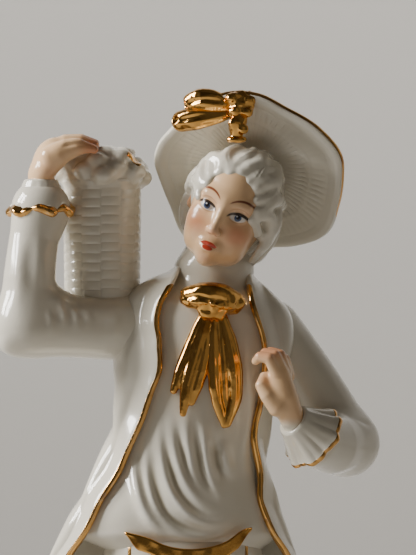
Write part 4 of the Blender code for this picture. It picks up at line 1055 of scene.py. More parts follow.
def make_painted_face(glaze):
    """Flesh tint with the features painted over it in fine dabs."""
    made = flesh("painted face", glaze)
    tree = made.node_tree
    board = Board(tree)
    board.column = 40
    shader = tree.nodes["Principled BSDF"]
    place = tree.nodes["Texture Coordinate"].outputs["Object"]
    base = shader.inputs["Base Color"].links[0].from_socket
    turn = board.node("ShaderNodeMapping", vector_type="TEXTURE")
    turn.inputs["Location"].default_value = (HEAD_MIDDLE + vec(CENTRE_LINE, 0, FOOT_LEVEL)) * MM
    turn.inputs["Rotation"].default_value = Matrix(HEAD_AXES.tolist()).to_euler("XYZ")
    turn.inputs["Scale"].default_value = (MM, MM, MM)
    board.put(turn.inputs["Vector"], place)
    parts = board.node("ShaderNodeSeparateXYZ")
    board.put(parts.inputs[0], turn.outputs[0])
    x, y, z = parts.outputs
    either = board.math("ABSOLUTE", x)
    in_front = board.step(y, -6.0, -7.5)

    def dab(across, up, middle, size, softness):
        found = board.placed("painted dab", Across=across, Up=up, Middle_Across=middle[0],
                             Middle_Up=middle[1],
                             Half_Width=size[0], Half_Height=size[1], Softness=softness).outputs["Dab"]
        return board.math("MULTIPLY", found, in_front)

    def ring(outer, inner):
        return board.math("MAXIMUM", board.math("SUBTRACT", outer, inner), 0.0)

    def over(colour, mask, paint, strength=1.0):
        return board.tint(board.math("MULTIPLY", mask, strength), colour, paint)

    slanted = board.math("MULTIPLY_ADD", either, -0.10, z)
    colour = base
    # painted shade: a soft, darker brown wash over each eye socket
    colour = over(colour, dab(either, slanted, (4.2, 0.9), (3.4, 1.7), 0.8), (0.62, 0.36, 0.24), 0.25)
    white = dab(either, slanted, (4.15, -1.35), (1.95, 0.88), 0.2)
    colour = over(colour, white, (0.80, 0.78, 0.76), 0.85)
    glance = dab(either, slanted, (4.2, -1.2), (0.88, 0.92), 0.18)
    glance = board.math("MINIMUM", glance, white)
    colour = over(colour, glance, (0.020, 0.055, 0.16), 0.95)
    pupil = board.math("MINIMUM", dab(either, slanted, (4.2, -1.05), (0.50, 0.62), 0.25), white)
    colour = over(colour, pupil, (0.012, 0.010, 0.014), 0.97)
    lash = ring(dab(either, slanted, (4.15, -1.50), (2.65, 1.62), 0.10),
                dab(either, slanted, (4.15, -2.25), (2.70, 1.62), 0.14))
    lash = board.math("MULTIPLY", lash, board.step(slanted, -1.9, -1.2))
    colour = over(colour, lash, (0.02, 0.015, 0.015), 0.95)
    low_line = ring(dab(either, slanted, (4.15, -1.15), (2.3, 1.42), 0.12),
                    dab(either, slanted, (4.15, -1.0), (2.3, 1.42), 0.14))
    colour = over(colour, board.math("MULTIPLY", low_line, board.step(slanted, -1.6, -2.0)),
                  (0.30, 0.12, 0.08), 0.45)
    # painted highlight: a small pale glint in each eye
    painted_glint = dab(x, slanted, (3.85, -0.85), (0.20, 0.20), 0.4)
    painted_glint_left = dab(x, slanted, (-4.45, -0.85), (0.20, 0.20), 0.4)
    colour = over(colour, board.math("MAXIMUM", painted_glint, painted_glint_left), (0.85, 0.88, 0.92), 0.9)
    lid_line = ring(dab(either, slanted, (4.1, -1.2), (2.75, 2.35), 0.09),
                    dab(either, slanted, (4.1, -1.45), (2.80, 2.38), 0.12))
    colour = over(colour, board.math("MULTIPLY", lid_line, board.step(slanted, -0.3, 0.4)),
                  (0.38, 0.15, 0.09), 0.5)
    brow = ring(dab(either, slanted, (4.3, 0.3), (3.5, 3.05), 0.075),
                dab(either, slanted, (4.3, -0.30), (3.75, 3.08), 0.085))
    brow = board.math("MULTIPLY", brow, board.step(slanted, 1.5, 2.2))
    colour = over(colour, brow, (0.20, 0.045, 0.02), 0.95)
    nostril = dab(either, z, (0.85, -6.85), (0.42, 0.24), 0.6)
    colour = over(colour, nostril, (0.45, 0.15, 0.09), 0.7)
    upper = board.math("MAXIMUM",
                       dab(either, board.math("MULTIPLY_ADD", either, 0.16, z), (0.75, -9.2),
                           (1.35, 0.50), 0.25),
                       dab(x, z, (0, -9.4), (1.1, 0.36), 0.3))
    lower = dab(x, z, (0, -10.35), (1.4, 0.58), 0.22)
    colour = over(colour, board.math("MAXIMUM", upper, lower), (0.52, 0.03, 0.012), 0.95)
    seam_line = dab(x, board.math("MULTIPLY_ADD", board.math("MULTIPLY", x, x), 0.03, z), (0, -9.80),
                    (1.9, 0.11), 0.7)
    colour = over(colour, seam_line, (0.25, 0.02, 0.01), 0.7)
    board.put(shader.inputs["Base Color"], colour)
    return made


def make_hair():
    """Powdered hair: a cap of combed waves with locks over the brow and round the ears."""
    clay = Clay(HEAD_MIDDLE + vec(-19, -20, -19), HEAD_MIDDLE + vec(20, 18, 20), 0.33)
    p = seen_from(clay.points, HEAD_MIDDLE, HEAD_AXES)
    clay.add(egg(p, (0, 2.0, 2.8), (11.6, 13.0, 12.6)))
    clay.add(egg(p, (0, 5.5, -5.5), (10.4, 8.6, 9.0)), 3.0)
    clay.take(egg(p, (0.3, -13.0, -3.4), (9.6, 10.4, 13.0)), 1.2)
    p = seen_from(clay.near(3.6), HEAD_MIDDLE, HEAD_AXES)
    side_locks = (
        ((10.4, -1, 4.6), (12.0, -2.4, 0.0), (11.6, -1.6, -4.6), (10.8, -2.6, -8.2), (9.8, -0.4, -10.6)),
        ((10.6, 3, 3.0), (12.0, 2.0, -3.0), (11.4, 2.0, -8.0), (9.6, 3.0, -12.0)),
        ((-10.0, -1, 6.0), (-11.6, -0.6, 2.6), (-11.8, 0.6, -0.6)),
        ((-10.4, 3, 3.0), (-11.8, 3.0, -2.0), (-11.2, 3.4, -7.0), (-9.4, 4.0, -11.0)),
        ((-9.6, 6, 1.0), (-10.8, 6.4, -4.0), (-9.6, 6.4, -9.0), (-7.6, 6.6, -12.6)),
        ((8.6, 7, 0.0), (10.4, 6.6, -5.0), (9.4, 6.6, -9.6), (7.0, 6.8, -13.0)),
    )
    lines = [curve_through(path, 9) for path in side_locks]
    for index, bearing in enumerate(np.radians(np.linspace(-98, 106, 15))):
        polar_angle = np.radians(np.linspace(40 + 3 * math.sin(2.1 * index), 96, 9))
        t = np.linspace(0, 1, 9)
        sweep = bearing + 0.30 * t * math.cos(0.9 * index) + 0.10 * np.sin(7.0 * t + 1.7 * index)
        across = np.sin(polar_angle)
        lines.append(np.stack([
            0.2 + 11.5 * across * np.sin(sweep), 2.0 - 12.9 * np.cos(polar_angle),
            2.8 + 12.5 * across * np.cos(sweep),
        ], axis=1) + vec(0, 0, -1.6) * (1 - t[:, None]) ** 2)
    for index, line in enumerate(lines):
        plump = 1.55 + 0.3 * math.sin(4.0 * index)
        clay.add(limb(p, line, plump * np.sin(np.linspace(0.75, 2.9, 9)) ** 0.6 + 0.1), 0.8)
    p = seen_from(clay.near(1.8), HEAD_MIDDLE, HEAD_AXES)
    for index, line in enumerate(lines):
        out = line - vec(0, 2.0, 2.8)
        out *= 1.3 / np.linalg.norm(out, axis=1, keepdims=True)
        for side in (-0.55, 0.4):
            beside = np.cross(np.gradient(line, axis=0), out)
            beside *= side / np.linalg.norm(beside, axis=1, keepdims=True)
            clay.swell(fold(p, line + out + beside, 0.24, -0.24, 0.3))
    around = np.arctan2(p[..., 0], -(p[..., 1] - 2.0))
    strands = np.sin(30 * around + 1.6 * np.sin(p[..., 2] * 0.55) + 1.2 * cloud(p, 5.0, 11))
    clay.swell(0.15 * strands * ease(p[..., 1], -7.0, -2.0) * ease(9.0 - p[..., 2], 0, 4.0))
    clay.swell(0.25 * cloud(p, 3.4, 12))
    return fired("powdered_hair", "powdered hair", clay)


HAT_ROLL, HAT_LEAN = math.radians(25), math.radians(35)
HAT_MIDDLE = HEAD_MIDDLE + vec(4.2, 10.0, 9.6)
HAT_AXES = np.array((
    (math.cos(HAT_ROLL), math.sin(HAT_ROLL) * math.cos(HAT_LEAN),
     -math.sin(HAT_ROLL) * math.sin(HAT_LEAN)),
    (0.0, -math.sin(HAT_LEAN), -math.cos(HAT_LEAN)),
    (-math.sin(HAT_ROLL), math.cos(HAT_ROLL) * math.cos(HAT_LEAN),
     -math.cos(HAT_ROLL) * math.sin(HAT_LEAN)),
))
BRIM_CUP = 5.0

# the brim's rim as it stands from the front, going round, taken from the hat's middle
RIM = np.array((
    (37.2, 228.0), (36.7, 233.0), (31.3, 239.5), (22.2, 245.0), (15.8, 248.3), (9.0, 249.2), (2.5, 247.6),
    (-2.5, 244.8),
    (-6.0, 241.0), (-9.8, 236.5), (-10.8, 232.8), (-9.4, 227.6), (-6.6, 221.0), (-3.0, 213.7),
    (3.0, 209.8), (10.0, 209.2),
    (18.0, 210.4), (26.3, 211.0), (33.0, 213.7), (36.3, 221.2),
)) - HAT_MIDDLE[[0, 2]]


def rim_outline(angle):
    """Half widths of the brim in the hat's own plane, at angles round its middle."""
    shift = np.array((-HAT_AXES[0, 2] * BRIM_CUP, -HAT_AXES[2, 2] * BRIM_CUP))
    seen = RIM + shift
    across = seen[:, 0] * math.cos(HAT_ROLL) - seen[:, 1] * math.sin(HAT_ROLL)
    up = (seen[:, 0] * math.sin(HAT_ROLL) + seen[:, 1] * math.cos(HAT_ROLL)) / math.cos(HAT_LEAN)
    bearing = np.unwrap(np.arctan2(up, across))
    reach = np.hypot(across, up)
    bearing = np.concatenate([bearing[-3:] - 2 * np.pi, bearing, bearing[:3] + 2 * np.pi])
    reach = np.concatenate([reach[-3:], reach, reach[:3]])
    first = bearing[3]
    return flowing(bearing, reach, (angle - first) % (2 * np.pi) + first)


def make_brim():
    """The hat's brim: cupped towards the face, softly ribbed, with a fine gilt line along part of its rim."""
    angle = np.linspace(0, 2 * np.pi, 460, endpoint=False)[:, None]
    t = spaced(0, 1, 86, 0.3)[None, :]
    share = 0.2 + 0.8 * t
    reach = rim_outline(angle)
    forward = BRIM_CUP * t**1.6 - 0.9 * ease(t, 0.9, 1.0) + 0.5 * np.sin(3 * angle + 0.4) * t**2
    ribs = np.sin(76 * angle + 0.8 * np.sin(3 * angle))
    bands = bell(t - 0.42, 0.13) + bell(t - 0.70, 0.10) * (0.6 + 0.4 * np.sin(5 * angle))
    forward = forward + 0.11 * ribs * bands + 0.16 * bell(t - 0.56, 0.025) - 0.12 * bell(t - 0.82, 0.025)
    local = np.stack([reach * share * np.cos(angle), reach * share * np.sin(angle), forward], axis=-1)
    middle = HAT_MIDDLE + local @ HAT_AXES.T
    run = (1 - t) * reach * 0.8
    gilt_side = ease(np.cos(angle - 1.25), 0.05, 0.5)
    edge = 2.4 * run + 3.0 * (1 - gilt_side)
    half = 0.85 + 0.15 * ease(t, 0.9, 1.0)
    return slab("ribbed_brim", "gilt edged porcelain", middle, half, round_v=1.1, closed=True,
                marks={"edge": edge})


def make_crown():
    """The hat's crown, a soft dome gathered into the brim, with a band of ribbon round its foot."""
    angle = np.linspace(0, 2 * np.pi, 240, endpoint=False)[None, :]
    t = np.linspace(0, 1, 90)[:, None]
    lift = np.sin(t * np.pi / 2) ** 0.75
    radius = 14.8 * np.sqrt(np.clip(1 - (t * 0.995) ** 2.6, 0, 1))
    gathers = np.sin(26 * angle + 2 * np.sin(angle)) * ease(t, 0.02, 0.2) * ease(1 - t, 0.1, 0.7)
    band = 0.5 * bell(t - 0.12, 0.07)
    radius = radius * (1 + 0.016 * gathers) + band
    local = np.stack([radius * np.cos(angle), 0.93 * radius * np.sin(angle),
                      -13.6 * lift - 1.0 + 0 * angle], axis=-1)
    return tube("gathered_crown", "white porcelain", HAT_MIDDLE + local @ HAT_AXES.T)


# ---------------------------------------------------------------- repeats, as geometry nodes


def geometry_tree(name, inputs):
    """A geometry node tree with named inputs; returns its board, what it is given, and how to close it."""
    tree = bpy.data.node_groups.new(name, "GeometryNodeTree")
    tree.interface.new_socket("Geometry", in_out="INPUT", socket_type="NodeSocketGeometry")
    for label, kind, default in inputs:
        socket = tree.interface.new_socket(label, in_out="INPUT", socket_type=kind)
        if default is not None:
            socket.default_value = default
    tree.interface.new_socket("Material", in_out="INPUT", socket_type="NodeSocketMaterial")
    tree.interface.new_socket("Geometry", in_out="OUTPUT", socket_type="NodeSocketGeometry")
    board = Board(tree)
    given = board.node("NodeGroupInput").outputs

    def close(geometry):
        real = board.node("GeometryNodeRealizeInstances")
        board.put(real.inputs[0], geometry)
        dressed = board.node("GeometryNodeSetMaterial")
        board.put(dressed.inputs["Geometry"], real.outputs[0])
        board.put(dressed.inputs["Material"], given["Material"])
        board.put(board.node("NodeGroupOutput").inputs[0], dressed.outputs[0])

    return board, given, close


def grown(piece, tree_name, finish, **values):
    """Runs a tree on a piece and keeps the result as its plain mesh."""
    tree = bpy.data.node_groups[tree_name]
    step = piece.modifiers.new(tree_name, "NODES")
    step.node_group = tree
    values["Material"] = bpy.data.materials[finish]
    for item in tree.interface.items_tree:
        label = item.name.replace(" ", "_")
        if item.in_out == "INPUT" and label in values:
            step[item.identifier] = values[label]
    graph = bpy.context.evaluated_depsgraph_get()
    made = bpy.data.meshes.new_from_object(piece.evaluated_get(graph))
    piece.modifiers.clear()
    piece.data = made
    made.shade_smooth()
    return piece


def polar(board, given):
    """Bearing and height of each point about the piece's upright middle line, and the way outwards."""
    here = board.node("ShaderNodeVectorMath", operation="SUBTRACT")
    board.put(here.inputs[0], board.node("GeometryNodeInputPosition").outputs[0])
    board.put(here.inputs[1], given["Middle"])
    parts = board.node("ShaderNodeSeparateXYZ")
    board.put(parts.inputs[0], here.outputs[0])
    x, y, z = parts.outputs
    bearing = board.math("ARCTAN2", x, board.math("MULTIPLY", y, -1.0))
    flat = board.node("ShaderNodeCombineXYZ")
    board.put(flat.inputs[0], x)
    board.put(flat.inputs[1], y)
    out = board.node("ShaderNodeVectorMath", operation="NORMALIZE")
    board.put(out.inputs[0], flat.outputs[0])
    return bearing, z, out.outputs[0]


def moved(board, given, offset):
    """The given geometry with each point moved by an offset."""
    made = board.node("GeometryNodeSetPosition")
    board.put(made.inputs["Geometry"], given["Geometry"])
    board.put(made.inputs["Offset"], offset)
    return made.outputs[0]


def scaled_by(board, direction, amount):
    """A direction times an amount."""
    made = board.node("ShaderNodeVectorMath", operation="SCALE")
    board.put(made.inputs[0], direction)
    board.put(made.inputs["Scale"], amount)
    return made.outputs[0]


def make_weave_tree():
    """Plain weave cast into an upright wall: strands bulge between stakes, every other bay a little lower."""
    board, given, close = geometry_tree(
        "basket weave",
        (("Middle", DIRECTION, None), ("Stakes", NUMBER, 10.0), ("Row Height", NUMBER, 0.0028),
         ("Depth", NUMBER, 0.0005), ("Foot", NUMBER, 0.0), ("Rim", NUMBER, 0.03)),
    )
    bearing, z, outwards = polar(board, given)
    bay = board.math("MULTIPLY", board.math("DIVIDE", board.math("ADD", bearing, math.pi), 2 * math.pi),
                     given["Stakes"])
    other = board.math("MODULO", board.math("FLOOR", bay), 2.0)
    row = board.math("MULTIPLY_ADD", other, 0.22, board.math("DIVIDE", z, given["Row Height"]))
    strand = board.math("POWER",
                        board.math("ABSOLUTE", board.math("SINE", board.math("MULTIPLY", row, math.pi))),
                        0.5)
    stake = board.math("POWER",
                       board.math("ABSOLUTE", board.math("SINE", board.math("MULTIPLY", bay, math.pi))),
                       0.3)
    relief = board.math("SUBTRACT",
                        board.math("MULTIPLY", strand, board.math("MULTIPLY_ADD", stake, 0.75, 0.25)),
                        0.7)
    above = board.math("MULTIPLY", board.math("SUBTRACT", z, given["Foot"]), 900.0, clamp=True)
    below = board.math("MULTIPLY", board.math("SUBTRACT", given["Rim"], z), 900.0, clamp=True)
    relief = board.math("MULTIPLY", board.math("MULTIPLY", relief, above), below)
    close(moved(board, given, scaled_by(board, outwards, board.math("MULTIPLY", relief, given["Depth"]))))


def make_moulding_tree():
    """Small even lobes round a turned rim."""
    board, given, close = geometry_tree(
        "lobed moulding",
        (("Middle", DIRECTION, None), ("Lobes", NUMBER, 40.0), ("Depth", NUMBER, 0.0004),
         ("Level", NUMBER, 0.003), ("Reach", NUMBER, 0.002)),
    )
    bearing, z, outwards = polar(board, given)
    lobe = board.math("ABSOLUTE",
                      board.math("SINE",
                                 board.math("MULTIPLY", board.math("MULTIPLY", bearing, given["Lobes"]),
                                            0.5)))
    far = board.math("DIVIDE", board.math("ABSOLUTE", board.math("SUBTRACT", z, given["Level"])),
                     given["Reach"])
    near = board.math("SUBTRACT", 1.0, far, clamp=True)
    relief = board.math("MULTIPLY", board.math("SUBTRACT", lobe, 0.6), board.math("POWER", near, 0.5))
    close(moved(board, given, scaled_by(board, outwards, board.math("MULTIPLY", relief, given["Depth"]))))


# ---------------------------------------------------------------- basket

BASKET_LOW, BASKET_HIGH = (np.array(corner) / MM - vec(CENTRE_LINE, 0, FOOT_LEVEL)
                           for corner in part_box("basket"))
BASKET_MIDDLE = (BASKET_LOW + BASKET_HIGH) / 2


def make_basket():
    """The basket's woven wall, a closed round body with a thickened rim."""
    angle = np.linspace(0, 2 * np.pi, 340, endpoint=False)[None, :]
    heights = np.linspace(BASKET_LOW[2], BASKET_HIGH[2] + 0.6, 220)[:, None]
    share = (heights - heights[0]) / (heights[-1] - heights[0])
    radius = 9.6 + 0.35 * share + 0.5 * bell(share - 0.985, 0.03) + 0 * angle
    x = BASKET_MIDDLE[0] + radius * np.sin(angle)
    y = BASKET_MIDDLE[1] - radius * np.cos(angle)
    made = tube("woven_basket", None, np.stack([x, y, heights + 0 * angle], axis=-1))
    middle = (vec(BASKET_MIDDLE[0] + CENTRE_LINE, BASKET_MIDDLE[1], BASKET_LOW[2] + FOOT_LEVEL)) * MM
    high = (BASKET_HIGH[2] - BASKET_LOW[2]) * MM
    return grown(made, "basket weave", "white porcelain", Middle=tuple(middle), Stakes=12.0,
                 Row_Height=0.0023,
                 Depth=0.00027, Foot=0.0012, Rim=high - 0.0012)


def make_heap():
    """Blossom heaped in the basket's mouth: soft round lumps run together."""
    rng = np.random.default_rng(21)
    top = BASKET_HIGH[2]
    clay = Clay(vec(BASKET_MIDDLE[0] - 15, BASKET_MIDDLE[1] - 15, top - 4),
                vec(BASKET_MIDDLE[0] + 15, BASKET_MIDDLE[1] + 15, top + 14), 0.34)
    p = clay.points
    middle = vec(BASKET_MIDDLE[0], BASKET_MIDDLE[1], top + 1.0)
    clay.add(egg(p, middle, (10.4, 10.4, 8.0)))
    p = clay.near(4.0)
    for index in range(26):
        bearing = index * 2.399963
        rise = 0.04 + 0.94 * (index + 0.5) / 26
        spread = math.sqrt(1 - rise * rise)
        lump = middle + vec(9.9 * spread * math.cos(bearing), 9.9 * spread * math.sin(bearing),
                            7.6 * rise - 0.4)
        size = rng.uniform(2.2, 3.1)
        clay.add(egg(p, lump, (size, size, size * 0.8)), 1.3)
    clay.swell(0.28 * cloud(p, 1.9, 22))

    def edge(points):
        flat = points * vec(1, 0, 1)
        dab = limb(flat, (vec(-16.2, 0, 234.4), vec(-14.2, 0, 232.2)), (0.0, 0.0))
        return dab + 4.0 * ease(points[:, 1], 0, 3)

    return fired("basket_blossom", "gilt edged porcelain", clay, {"edge": edge})


# ---------------------------------------------------------------- bows


def make_neck_bow():
    """The folded band of the neckcloth, smooth above and crumpled below."""
    clay = Clay((-7, -20, 190), (16, -6, 206), 0.24)
    p = clay.points
    line = curve_through(((-0.9, -11.6, 198.6), (2.6, -12.8, 198.7), (6.4, -12.6, 198.1),
                          (9.4, -11.2, 197.2)), 16)
    clay.add(limb(p, line, flowing((0, 0.35, 0.7, 1), (2.9, 3.7, 3.8, 3.1), np.linspace(0, 1, 16))))
    clay.add(limb(p, (vec(2.6, -13.6, 194.9), vec(6.0, -13.6, 194.3)), (1.5, 1.4)), 1.2)
    p = clay.near()
    clay.swell(fold(p,
                    (vec(-3.4, -13.4, 198.4), vec(1.0, -16.4, 198.9), vec(6.0, -16.4, 198.0),
                     vec(11.0, -13.4, 196.8)), 0.55, -0.55, 0.2))
    clay.swell(fold(p,
                    (vec(-2.6, -14.0, 197.3), vec(2.0, -16.6, 197.2), vec(7.0, -16.2, 196.2),
                     vec(11.4, -12.8, 195.7)), 0.5, 0.45, 0.2))
    clay.swell(fold(p, (vec(-1.0, -14.8, 201.0), vec(4.0, -16.0, 201.4), vec(9.0, -14.4, 199.8)), 0.8,
                    0.35, 0.3))
    for x in (-1.6, 0.6, 3.4, 5.2, 8.0, 10.0):
        clay.swell(fold(p, (vec(x, -16.2, 198.2), vec(x * 0.8 + 0.9, -16.2, 194.6)), 0.42, -0.38, 0.3))
    crumple = cloud(p, 1.7, 31) + 0.3 * cloud(p, 0.8, 32)
    clay.swell(0.36 * crumple * ease(199.4 - 0.15 * (p[..., 0] - 4) - p[..., 2], -0.6, 1.2))
    clay.swell(0.10 * cloud(p, 2.6, 33))
    return fired("neck_ribbon_knot", "bright gold", clay)


def make_tail(name, folds):
    """A ribbon tail laid on the shirt front: rounded folds side by side, tapering to its tips.

    Each fold is a path of (x, z) from the knot down, with how far it lifts and how thick it is."""
    low = vec(min(x for path, _, _ in folds for x, _ in path) - 3, -22,
              min(z for path, _, _ in folds for _, z in path) - 3)
    high = vec(max(x for path, _, _ in folds for x, _ in path) + 3, -10, 196)
    clay = Clay(low, high, 0.23)
    flat = clay.points.copy()
    flat[..., 1] = (flat[..., 1] - chest(flat[..., 0], flat[..., 2])) * 1.25
    lines = []
    for path, lift, thick in folds:
        line = curve_through([(x, -lift, z) for x, z in path], 14)
        shape = np.sin(np.linspace(0.45, 2.85, 14)) ** 0.8
        clay.add(limb(flat, line, 0.35 + thick * shape), 0.5)
        lines.append(line)
    clay.near(1.6)
    flat = clay.points.copy()
    flat[..., 1] = (flat[..., 1] - chest(flat[..., 0], flat[..., 2])) * 1.25
    for line in lines:
        for turn in (-0.5, 0.55):
            clay.swell(fold(flat, line + vec(turn, -1.5, 0), 0.34, -0.24, 0.3))
    clay.swell(0.10 * cloud(flat, 2.2, 34))
    return fired(name, "bright gold", clay)


def make_neck_tails():
    """The two tails under the neck bow, the long one on the figure's left."""
    long_tail = make_tail("neck_ribbon_tail_long", (
        (((4.9, 194.0), (4.8, 187), (4.9, 180), (5.5, 173.5), (7.3, 166.9)), 1.7, 1.45),
        (((6.8, 194.0), (8.9, 187), (10.1, 180), (10.2, 174.0), (8.2, 167.2)), 1.9, 1.55),
        (((5.8, 194.0), (6.9, 186), (7.5, 178), (7.7, 170.0)), 0.9, 1.65),
    ))
    short_tail = make_tail("neck_ribbon_tail_short", (
        (((2.2, 194.0), (-0.9, 186), (-3.5, 180), (-5.2, 175.4)), 1.3, 1.60),
        (((3.0, 193.6), (0.2, 184), (-1.8, 177), (-2.9, 169.8)), 1.8, 1.55),
        (((3.9, 193.0), (2.5, 185), (0.9, 178.5), (-0.8, 172.6)), 1.2, 1.70),
    ))
    return long_tail, short_tail


def make_loop(name, path, radii, crease, hollow):
    """A plump loop of ribbon from the knot to its round end, with creases along it and a hollow in its end."""
    line = np.array([hat_spot(x - HAT_MIDDLE[0], z - HAT_MIDDLE[2], off) for x, z, off in path])
    clay = Clay(line.min(axis=0) - 4.5, line.max(axis=0) + 4.5, 0.23)
    p = clay.points
    fine = curve_through(line, 13)
    width = flowing(np.linspace(0, 1, len(radii)), radii, np.linspace(0, 1, 13))
    clay.add(limb(p, fine, width))
    p = clay.near(2.2)
    for shift, height in ((0.0, -0.75), (1.5, -0.35), (-1.5, -0.35)):
        groove = [hat_spot(x - HAT_MIDDLE[0], z + shift - HAT_MIDDLE[2], off + 2.2) for x, z,
                  off in crease]
        clay.swell(fold(p, curve_through(groove, 9), 0.75, height, 0.25))
    clay.take(egg(p, hat_spot(hollow[0] - HAT_MIDDLE[0], hollow[1] - HAT_MIDDLE[2], hollow[2]),
                  (1.5, 1.2, 1.0)), 0.8)
    clay.swell(0.14 * cloud(p, 2.4, 35))
    return fired(name, "bright gold", clay)


def hat_spot(across, up, off=0.0):
    """A place seen from the front at (across, up) from the hat's middle, off in front of the brim."""
    dx, dz = across, up
    long_way = dx * math.cos(HAT_ROLL) - dz * math.sin(HAT_ROLL)
    rise = (dx * math.sin(HAT_ROLL) + dz * math.cos(HAT_ROLL)) / math.cos(HAT_LEAN)
    spot = HAT_MIDDLE + HAT_AXES @ vec(long_way, rise, BRIM_CUP * 0.6)
    return vec(HAT_MIDDLE[0] + dx, spot[1] - off, HAT_MIDDLE[2] + dz)


def make_hat_loops():
    """The upper and the lower loop of the hat's bow."""
    upper = make_loop(
        "hat_ribbon_loop_upper",
        ((9.0, 246.2, 3.0), (5.2, 247.2, 3.6), (1.4, 247.6, 3.4), (-0.6, 247.0, 3.0)),
        (1.4, 2.5, 3.0, 2.6), ((-2.4, 246.6, 3.2), (2.0, 247.6, 3.6), (8.0, 246.8, 3.2)),
        (-2.6, 246.4, 4.4),
    )
    lower = make_loop(
        "hat_ribbon_loop_lower",
        ((8.6, 244.4, 3.2), (4.6, 243.8, 4.0), (0.4, 243.2, 4.6), (-3.2, 242.6, 4.2)),
        (1.3, 2.3, 2.9, 2.75), ((-5.0, 242.4, 4.4), (0.0, 243.4, 4.8), (7.6, 244.2, 3.6)),
        (-4.9, 242.9, 5.6),
    )
    return upper, lower


def make_hat_knot():
    """The crumpled knot, and the end that hangs from it to the hairline with a ring at its foot."""
    knot = hat_spot(11.2 - HAT_MIDDLE[0], 246.2 - HAT_MIDDLE[2], 4.2)
    clay = Clay(knot + vec(-7, -7, -6), knot + vec(7, 7, 7), 0.22)
    p = clay.points
    clay.add(egg(p, knot + vec(0.2, 0, 0.4), (3.5, 2.6, 3.3)))
    for lump in ((-1.8, -1.2, 1.6), (1.8, -1.2, 1.2), (-1.4, -1.5, -1.6), (1.7, -1.3, -1.8),
                 (2.8, 0, 2.0)):
        clay.add(egg(p, knot + vec(*lump), (1.7, 1.6, 1.5)), 0.5)
    p = clay.near(2.0)
    clay.swell(0.30 * cloud(p, 1.5, 41) + 0.15 * cloud(p, 0.8, 42))
    made = fired("hat_ribbon_knot", "bright gold", clay)
    foot = vec(10.4, knot[1] - 0.4, 237.7)
    drop = Clay(foot + vec(-5, -5, -3), foot + vec(5, 5, 8), 0.22)
    p = drop.points
    drop.add(limb(p,
                  (vec(11.0, knot[1] - 0.2, 243.6), vec(10.6, knot[1] - 0.9, 241.0),
                   foot + vec(0, 0, 0.9)), (2.1, 2.2, 1.5)))
    drop.add(egg(p, (9.6, knot[1] - 2.2, 241.6), (1.5, 1.2, 1.3)), 0.4)
    drop.add(egg(p, (11.8, knot[1] - 2.0, 240.2), (1.4, 1.2, 1.3)), 0.4)
    drop.swell(0.22 * cloud(p, 1.3, 43))
    ring = np.linspace(0, 2 * np.pi, 17)
    loop = foot + np.stack([1.85 * np.cos(ring), 1.3 * np.sin(ring), 0.2 * np.sin(ring)], axis=1)
    drop.add(limb(p, loop, np.full(17, 0.7)), 0.3)
    end = fired("hat_ribbon_drop", "bright gold", drop)
    return made, end


# ---------------------------------------------------------------- legs, stump and base

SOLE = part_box("shoe_left")[0][2] / MM - FOOT_LEVEL
# hip, knee and ankle of each leg, and the bearing of its toe
LEGS = {
    "left": ((6, 0, 118), (7.5, -1, 67.5), (8.5, 3, 17.5), 38.0),
    "right": ((-12, 0, 118), (-14, -6, 67.5), (-14.5, -5, 17.5), -24.0),
}


def make_breeches():
    """Knee breeches: hips, two thighs and soft folds, with fine gilt lines round the fall."""
    clay = Clay((-28, -19, 62), (22, 20, 140), 0.55)
    p = clay.points
    clay.add(egg(p, (-3, 0.5, 130), (20.5, 15.4, 22)))
    clay.take(139.4 - p[..., 2], 1.5)
    for hip, knee, _, _ in LEGS.values():
        hip, knee = np.array(hip, float), np.array(knee, float)
        mid = hip * 0.5 + knee * 0.5 + vec(0, -1.0, 0)
        clay.add(limb(p, (hip, mid, knee + vec(0, 0, 1.6)), (11.2, 9.6, 7.0)), 2.5)
    p = clay.near()
    for _, knee, _, _ in LEGS.values():
        for turn in (-1, 0, 1):
            a = np.array(knee) + vec(turn * 5, -6.5, 2)
            clay.swell(fold(p, (a, a + vec(-turn * 2.5, -0.5, 7), a + vec(-turn * 1.5, 0, 13)), 1.1, 0.6,
                            0.4))
    for side in (-1, 1):
        clay.swell(fold(p,
                        (vec(-3 + side * 3, -14, 112), vec(-3 + side * 8, -14, 117),
                         vec(-3 + side * 15, -11, 121)), 1.3, -0.6, 0.4))
    clay.swell(0.25 * cloud(p, 8.0, 51))

    def edge(points):
        x, y, z = points.T
        falls = np.minimum(np.abs(x + 16.2), np.abs(x - 12.9))
        falls = falls + 3.0 * ease(z, 138.4, 139.4) + 3.0 * ease(114 - z, 0, 2)
        foot = np.abs(z - 113.6) + 3.0 * (1 - ease(x, -16.8, -16.0) * ease(13.5 - x, 0, 0.8))
        return np.minimum(falls, foot) + 6.0 * ease(y, -5, -2)

    return fired("knee_breeches", "finely gilt porcelain", clay, {"edge": edge})


def make_waistband():
    """The gilt band that dips across the front, with pointed ends."""
    x = spaced(-17.3, 14.2, 200, 0.4)[:, None]
    t = spaced(0, 1, 24, 0.6)[None, :]
    top = flowing((-17.3, -11.3, -7.5, 1.2, 7.5, 12.5, 14.2),
                  (140.6, 139.2, 137.6, 136.7, 138.2, 141.3, 141.6), x)
    deep = 3.4 * ease(x, -17.8, -13.6) * ease(14.8 - x, 0, 4.4) + 0.5
    z = top - deep * t
    y = -16.0 * np.sqrt(1 - ((x + 2.4) / 26) ** 2) + 0.12 * np.sin(1.1 * x) * bell(t - 0.5, 0.5)
    return slab("gilt_waistband", "bright gold", np.stack([x + 0 * t, y, z], axis=-1), 0.55, 0.7, 0.5)


